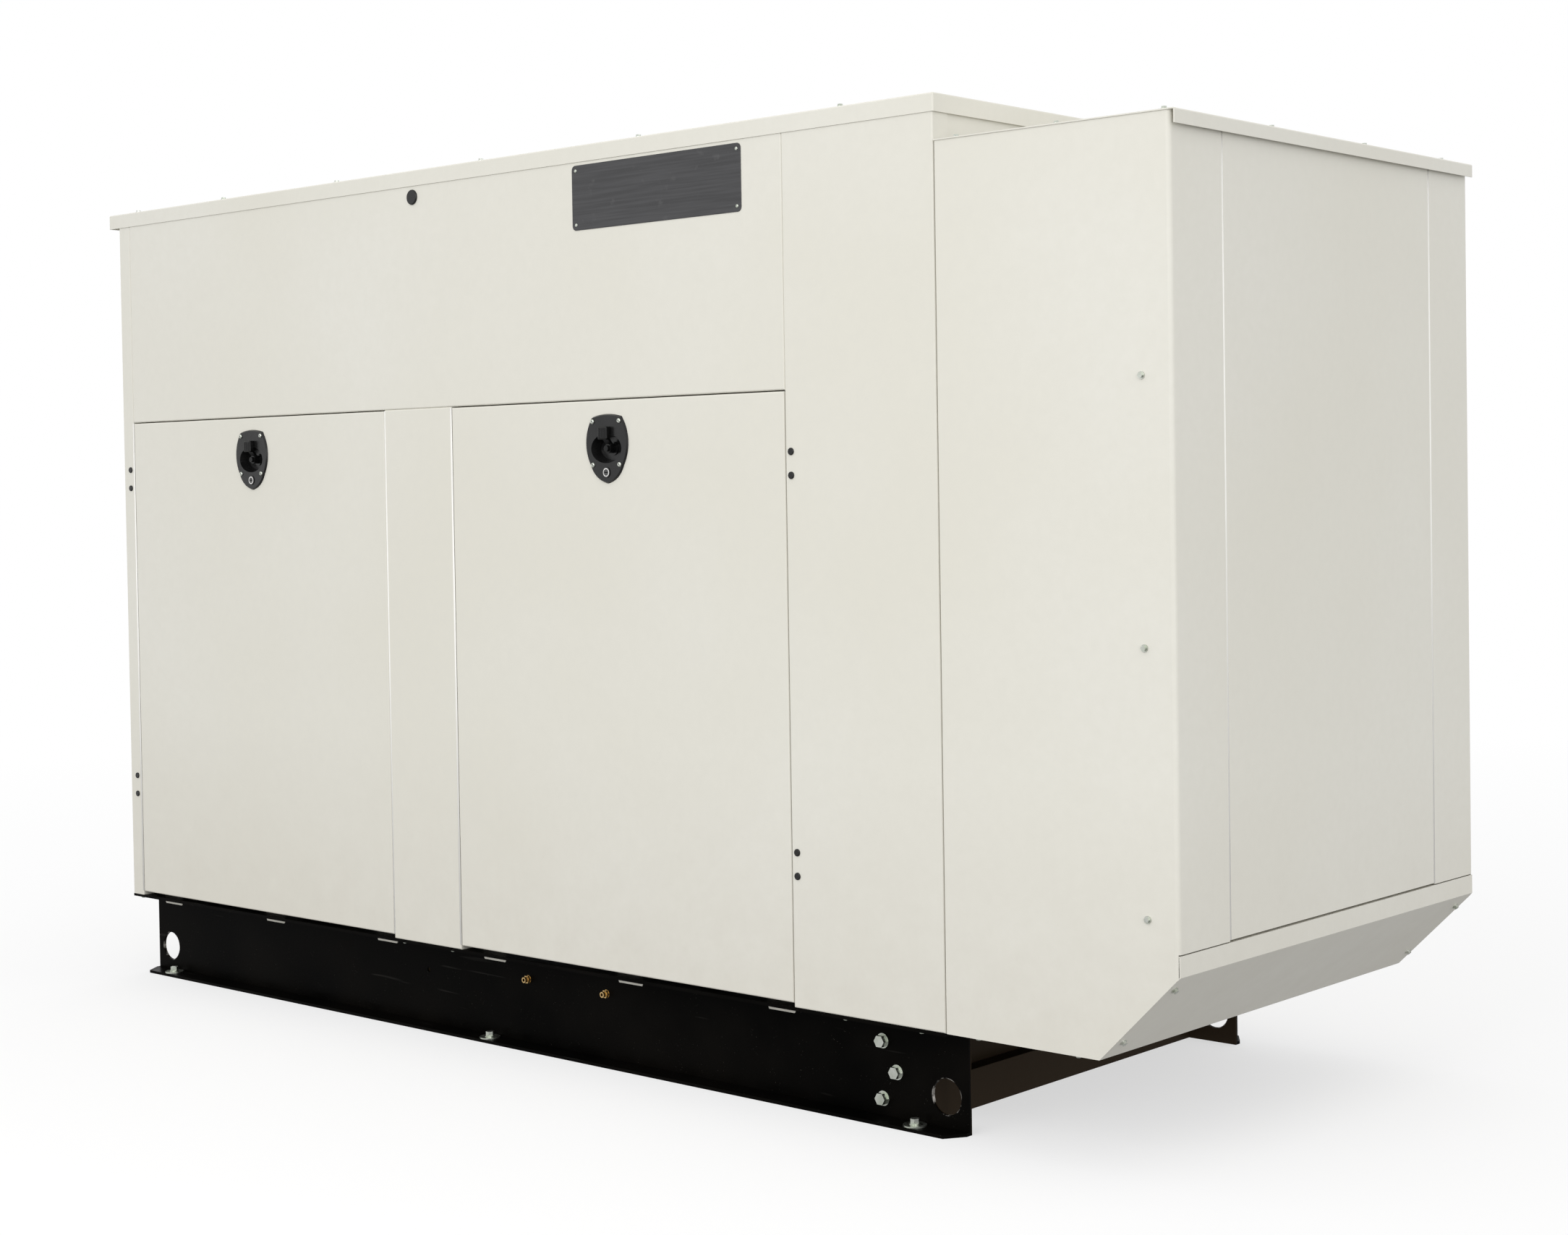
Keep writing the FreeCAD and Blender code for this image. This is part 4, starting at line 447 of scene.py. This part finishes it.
def pressed_black():
    """Satin black enamel on pressed steel, scuffed here and there."""
    paint = Shader("pressed_black", (0.024, 0.024, 0.024), 0.4, specular=0.35)
    tone = paint.spread(paint.noise(9.0, 4.0), 0.35, 0.65)
    body = paint.mix(tone, (0.018, 0.018, 0.018), (0.034, 0.034, 0.034))
    scuff = paint.spread(paint.noise(85.0, 3.0, 0.6, (0.2, 1.0, 1.0)), 0.64, 0.70, 0.0, 0.5)
    paint.colour(paint.mix(scuff, body, (0.17, 0.165, 0.16)))
    paint.roughness(paint.spread(paint.noise(16.0, 4.0), 0.3, 0.7, 0.32, 0.52))
    paint.bump(paint.noise(380.0, 2.0), 0.00015)
    return paint.material


def rotor_steel():
    """Turned steel: tool rings along the shaft, and a little rust bloom."""
    metal = Shader("rotor_steel", (0.46, 0.45, 0.44), 0.3, metallic=1.0)
    rings = metal.bands(420.0, "X")
    body = metal.mix(rings, (0.42, 0.41, 0.40), (0.52, 0.51, 0.50))
    bloom = metal.spread(metal.noise(20.0, 5.0, 0.7), 0.58, 0.74, 0.0, 0.55)
    metal.colour(metal.mix(bloom, body, (0.24, 0.14, 0.08)))
    metal.roughness(metal.spread(metal.noise(34.0, 4.0), 0.3, 0.7, 0.24, 0.46))
    metal.bump(rings, 0.00008)
    return metal.material


def rubber():
    """Matt black rubber with talc dust and a fine grain."""
    skin = Shader("rubber", (0.020, 0.020, 0.020), 0.72, specular=0.3)
    dust = skin.spread(skin.noise(30.0, 5.0, 0.7), 0.42, 0.78, 0.0, 0.45)
    skin.colour(skin.mix(dust, (0.018, 0.018, 0.018), (0.085, 0.083, 0.078)))
    skin.roughness(skin.spread(skin.noise(55.0, 3.0), 0.3, 0.7, 0.64, 0.84))
    skin.bump(skin.noise(650.0, 3.0, 0.6), 0.0002)
    skin.bump(skin.bands(130.0, "Z", 0.4), 0.0002, 0.3)
    return skin.material


def hot_steel():
    """Aluminised exhaust steel with straw and blue heat tint."""
    metal = Shader("hot_steel", (0.46, 0.43, 0.39), 0.36, metallic=0.95)
    heat = metal.noise(5.0, 4.0, 0.6)
    body = metal.mix(metal.spread(heat, 0.36, 0.52), (0.50, 0.49, 0.47), (0.44, 0.36, 0.24))
    body = metal.mix(metal.spread(heat, 0.54, 0.66), body, (0.27, 0.25, 0.29))
    metal.colour(body)
    metal.roughness(metal.spread(metal.noise(70.0, 4.0, 0.6, (0.1, 1.0, 1.0)), 0.3, 0.7, 0.28, 0.54))
    metal.bump(metal.noise(220.0, 3.0, 0.6), 0.0002)
    return metal.material


def radiator_alloy():
    """Black-dipped aluminium, finned up the core, with pale bands on the fin edges as a painted highlight."""
    metal = Shader("radiator_alloy", (0.20, 0.21, 0.22), 0.45, metallic=0.7)
    fins = metal.bands(110.0, "Z")
    # pale bands: a painted highlight on the fin edges
    body = metal.mix(metal.spread(fins, 0.35, 0.65), (0.075, 0.077, 0.080), (0.34, 0.35, 0.36))
    dust = metal.spread(metal.noise(16.0, 5.0, 0.7), 0.45, 0.75, 0.0, 0.5)
    metal.colour(metal.mix(dust, body, (0.22, 0.205, 0.18)))
    metal.roughness(metal.spread(metal.noise(40.0, 3.0), 0.3, 0.7, 0.40, 0.62))
    metal.bump(fins, 0.0012, 0.6)
    return metal.material


def control_paint():
    """Grey hammer-finish enamel of the control cabinet."""
    paint = Shader("control_paint", (0.30, 0.31, 0.32), 0.38, specular=0.5)
    dimples = paint.cells(190.0)
    tone = paint.spread(dimples, 0.1, 0.6)
    body = paint.mix(tone, (0.26, 0.27, 0.28), (0.36, 0.37, 0.38))
    grime = paint.spread(paint.noise(9.0, 5.0, 0.7), 0.52, 0.78, 0.0, 0.4)
    paint.colour(paint.mix(grime, body, (0.19, 0.185, 0.175)))
    paint.roughness(paint.spread(paint.noise(28.0, 4.0), 0.3, 0.7, 0.30, 0.46))
    paint.bump(dimples, 0.0004, 0.6)
    return paint.material


def foil_board():
    """Foil facing of a sound board: crinkled, quilted at its stitch lines."""
    foil = Shader("foil_board", (0.66, 0.66, 0.65), 0.34, metallic=0.85)
    crinkle = foil.noise(38.0, 6.0, 0.65)
    foil.colour(foil.mix(foil.spread(crinkle, 0.35, 0.65), (0.56, 0.56, 0.55), (0.74, 0.74, 0.73)))
    foil.roughness(foil.spread(crinkle, 0.3, 0.7, 0.28, 0.50))
    foil.bump(crinkle, 0.003, 0.7)
    squares = foil.math("MAXIMUM", foil.bands(3.2, "X"), foil.bands(3.2, "Z"))
    foil.bump(foil.spread(squares, 0.94, 1.0, 1.0, 0.0), 0.003, 0.8)
    return foil.material


def bend_highlight_paint():
    """A painted highlight: paler paint on the beads, standing in for the light a sheet's bend catches."""
    # base colour far paler than the panel paint: a painted highlight
    bead = Shader("bend_highlight_paint", (0.90, 0.89, 0.84), 0.34, specular=0.5)
    tone = bead.spread(bead.noise(18.0, 4.0), 0.3, 0.7)
    bead.colour(bead.mix(tone, (0.87, 0.86, 0.81), (0.93, 0.92, 0.88)))
    bead.roughness(bead.spread(bead.noise(60.0, 3.0), 0.3, 0.7, 0.28, 0.42))
    bead.bump(bead.noise(330.0, 1.0), 0.00003)
    return bead.material


def label_plate():
    """A blank charcoal plate, satin, with a slight brushed grain."""
    plate = Shader("label_plate", (0.035, 0.035, 0.037), 0.34, specular=0.5)
    brush = plate.noise(260.0, 2.0, 0.5, (0.03, 1.0, 1.0))
    tone = plate.mix(plate.spread(brush, 0.35, 0.65), (0.030, 0.030, 0.032), (0.046, 0.046, 0.049))
    worn = plate.spread(plate.noise(40.0, 4.0, 0.6), 0.62, 0.74, 0.0, 0.3)
    plate.colour(plate.mix(worn, tone, (0.10, 0.10, 0.10)))
    plate.roughness(plate.spread(plate.noise(22.0, 4.0), 0.3, 0.7, 0.28, 0.42))
    plate.bump(brush, 0.00005)
    return plate.material


def materials():
    """The finish of each material slot in the record."""
    return {
        "panel_paint": panel_paint(),
        "skid_paint": skid_paint(),
        "zinc": zinc(),
        "brass": brass(),
        "black_plastic": moulded("black_plastic", (0.006, 0.006, 0.006), (0.010, 0.010, 0.010), 0.20,
                                 0.00006, 0.4).material,
        "latch_handle": latch_handle(),
        "lock_metal": lock_metal(),
        "engine_iron": engine_iron(),
        "engine_alloy": engine_alloy(),
        "pressed_black": pressed_black(),
        "rotor_steel": rotor_steel(),
        "rubber": rubber(),
        "hot_steel": hot_steel(),
        "radiator_alloy": radiator_alloy(),
        "fan_plastic": moulded("fan_plastic", (0.024, 0.024, 0.025), (0.046, 0.046, 0.047), 0.5,
                               0.0001).material,
        "battery_case": battery_case(),
        "control_paint": control_paint(),
        "stop_red": moulded("stop_red", (0.50, 0.014, 0.010), (0.60, 0.025, 0.016), 0.22,
                            0.00004).material,
        "control_black": moulded("control_black", (0.016, 0.016, 0.017), (0.030, 0.030, 0.031), 0.42,
                                 0.0001).material,
    }


# ---- pieces -----------------------------------------------------------------------------------
def piece(name, mesh, body, material):
    """A new object that rides on a body and takes a slot's finish."""
    thing = bpy.data.objects.new(name, mesh)
    bpy.context.collection.objects.link(thing)
    mesh.materials.clear()
    mesh.materials.append(material)
    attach(thing, body)
    return thing


def rounded(centre, half, radius):
    """The outline of a rectangle with rounded corners, in X and Z."""
    points = []
    steps = 6
    for quarter, (sx, sz) in enumerate(((1, 1), (-1, 1), (-1, -1), (1, -1))):
        for step in range(steps + 1):
            angle = math.radians(90.0 * quarter + 90.0 * step / steps)
            points.append((centre[0] + sx * (half[0] - radius) + radius * math.cos(angle),
                           centre[1] + sz * (half[1] - radius) + radius * math.sin(angle)))
    return points


def smooth_mesh(name, bm):
    """A finished mesh whose four-sided faces are shaded smooth."""
    mesh = bpy.data.meshes.new(name)
    bm.to_mesh(mesh)
    bm.free()
    for face in mesh.polygons:
        face.use_smooth = len(face.vertices) == 4
    return mesh


def slab(name, outlines, y0, y1, edge):
    """A flat sheet in the X-Z plane with eased edges; outlines after the first are holes."""
    curve = bpy.data.curves.new(name, "CURVE")
    curve.dimensions = "2D"
    curve.fill_mode = "BOTH"
    curve.extrude = (y1 - y0) / 2 - edge
    curve.bevel_depth = edge
    curve.offset = -edge
    curve.bevel_resolution = 2
    for outline in outlines:
        spline = curve.splines.new("POLY")
        spline.points.add(len(outline) - 1)
        for point, (x, z) in zip(spline.points, outline):
            point.co = (x, z, 0.0, 1.0)
        spline.use_cyclic_u = True
    holder = bpy.data.objects.new(name, curve)
    mesh = bpy.data.meshes.new_from_object(holder)
    bpy.data.objects.remove(holder)
    bpy.data.curves.remove(curve)
    stand_up = Matrix.Rotation(math.radians(90.0), 4, "X")
    mesh.transform(Matrix.Translation((0.0, (y0 + y1) / 2, 0.0)) @ stand_up)
    return mesh


def turned(name, profile, seats, out):
    """Round pieces turned from a profile of (radius, height), one at each seat, along +Y or -Y."""
    bm = bmesh.new()
    for seat in seats:
        rings = []
        for radius, height in profile:
            ring = [bm.verts.new((seat[0] + radius * math.cos(2 * math.pi * i / TURNED_SIDES),
                                  seat[1] + out * height,
                                  seat[2] + radius * math.sin(2 * math.pi * i / TURNED_SIDES)))
                    for i in range(TURNED_SIDES)]
            rings.append(ring)
        for low, high in zip(rings, rings[1:]):
            for i in range(TURNED_SIDES):
                j = (i + 1) % TURNED_SIDES
                bm.faces.new((low[i], low[j], high[j], high[i]))
        bm.faces.new(rings[0])
        bm.faces.new(rings[-1])
    bmesh.ops.recalc_face_normals(bm, faces=bm.faces)
    return smooth_mesh(name, bm)


def beads(name, runs, across, deep, finish):
    """Upright elliptical beads; each run is its middle's X and Y and its two heights."""
    bm = bmesh.new()
    for x, y, z0, z1 in runs:
        foot, head = [[bm.verts.new((x + across * math.cos(2 * math.pi * i / BEAD_SIDES),
                                     y + deep * math.sin(2 * math.pi * i / BEAD_SIDES), z))
                       for i in range(BEAD_SIDES)] for z in (z0, z1)]
        for i in range(BEAD_SIDES):
            j = (i + 1) % BEAD_SIDES
            bm.faces.new((foot[i], foot[j], head[j], head[i]))
        bm.faces.new(foot[::-1])
        bm.faces.new(head)
    piece(name, smooth_mesh(name, bm), "enclosure", finish)


def doorway_foot():
    """The height of the doors' lowest fold."""
    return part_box("corner_post_front")[0].z + DOORWAY_RISE


def seam_highlight_beads(finish):
    """Beads down the fixed edges beside the doors, and down the two seams of the hood's end, that carry a
    painted highlight of the bends there.
    """
    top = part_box("door_front_left")[1].z
    for name, side in (("front", -1), ("rear", 1)):
        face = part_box("corner_post_" + name)[0 if side < 0 else 1].y
        y = face - side * BEAD_SUNK
        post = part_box("corner_post_" + name)[1].x
        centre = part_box("centre_post_" + name)
        edges = (post - BEAD_INSET, centre[0].x + BEAD_INSET, centre[1].x - BEAD_INSET)
        runs = [(x, y, doorway_foot(), top) for x in edges]
        beads("seam_highlight_beads_" + name, runs, BEAD_WIDE, BEAD_DEEP, finish)
    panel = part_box("hood_end_panel")
    x = panel[1].x - BEAD_SUNK
    beads("seam_highlight_beads_hood", [(x, y, panel[0].z, panel[1].z - 0.002) for y in (panel[0].y, panel[1].y)],
          BEAD_DEEP, BEAD_WIDE, finish)


def latch_at(door):
    """The middle of a door's latch, from its joint."""
    joint = next(j for j in frame["record"]["behaviour"]["joints"] if j["name"] == "latch_" + door + "_turn")
    return Vector(joint["pos_m"])


def latch_screws(door, side, finish):
    """Domed heads on the four screws of a latch plate."""
    centre = latch_at(door)
    low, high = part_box("latch_plate_" + door)
    seat = (low.y if side < 0 else high.y) - side * PLATE_SINK
    seats = [(centre.x + dx, seat, centre.z + dz) for dx, dz in PLATE_SCREWS]
    dome = [(0.0046, -0.0001), (0.0046, 0.0012), (0.0040, 0.0022), (0.0028, 0.0028), (0.0016, 0.0030),
            (0.0013, 0.0022)]
    piece("latch_screws_" + door, turned("latch_screws", dome, seats, side), "door_" + door, finish)


def label(finish, rivet_finish):
    """The blank plate on the upper panel, held by four rivets."""
    low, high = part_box("upper_panel_front")
    half = (LABEL_SIZE[0] / 2, LABEL_SIZE[1] / 2)
    centre = (high.x - LABEL_EDGE[0] - half[0], high.z - LABEL_EDGE[1] - half[1])
    face = low.y
    outline = rounded(centre, half, LABEL_CORNER)
    mesh = slab("label_plate", [outline], face - LABEL_THICK, face - 0.0001, 0.0004)
    piece("label_plate", mesh, "enclosure", finish)
    dome = [(0.0032, 0.0), (0.0032, 0.0003), (0.0022, 0.0006), (0.0008, 0.00075)]
    reach_x = half[0] - RIVET_INSET
    reach_z = half[1] - RIVET_INSET
    seats = [(centre[0] + sx * reach_x, face - LABEL_THICK, centre[1] + sz * reach_z)
             for sx in (-1, 1) for sz in (-1, 1)]
    piece("label_rivets", turned("label_rivets", dome, seats, -1), "enclosure", rivet_finish)


def sound_board(door, side, finish, clip_finish):
    """The foil-faced board inside a door, cut out round the latch and held by push-on clips."""
    low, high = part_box("door_" + door)
    latch = latch_at(door)
    x0, x1 = low.x + BOARD_EDGE, high.x - BOARD_EDGE
    z0, z1 = doorway_foot() + BOARD_EDGE, high.z - BOARD_EDGE
    outer = rounded(((x0 + x1) / 2, (z0 + z1) / 2), ((x1 - x0) / 2, (z1 - z0) / 2), 0.006)
    hole = rounded((latch.x, latch.z - LOCK_DROP / 3), CUTOUT, 0.018)
    skin = low.y if side < 0 else high.y
    face = skin - side * (BOARD_SEAT + BOARD_THICK)
    y0, y1 = sorted((skin - side * BOARD_SEAT, face))
    board = slab("sound_board", [outer, hole], y0, y1, 0.003)
    piece("sound_board_" + door, board, "door_" + door, finish)
    seats = [(x0 + (x1 - x0) * across, face, z0 + (z1 - z0) * up)
             for across in CLIPS_ACROSS for up in CLIPS_UP]
    washer = [(0.019, -0.0002), (0.019, 0.0008), (0.017, 0.0014), (0.006, 0.0016), (0.005, 0.0034),
              (0.002, 0.0036)]
    piece("board_clips_" + door, turned("board_clips", washer, seats, -side), "door_" + door,
          clip_finish)


def main():
    """Lights the stage, gives each CAD node its slot's finish, and adds the trim."""
    camera()
    studio()
    finishes = materials()
    for name, node in NODES.items():
        finish = finishes[SLOTS[name]]
        if not node.material_slots:
            node.data.materials.append(finish)
        for holder in node.material_slots:
            holder.material = finish
    label(label_plate(), finishes["zinc"])
    # pale beads at the seams, a painted highlight of the sheet's bends
    seam_highlight_beads(bend_highlight_paint())
    foil = foil_board()
    for door, side in DOORS:
        latch_screws(door, side, finishes["zinc"])
        sound_board(door, side, foil, finishes["zinc"])


main()
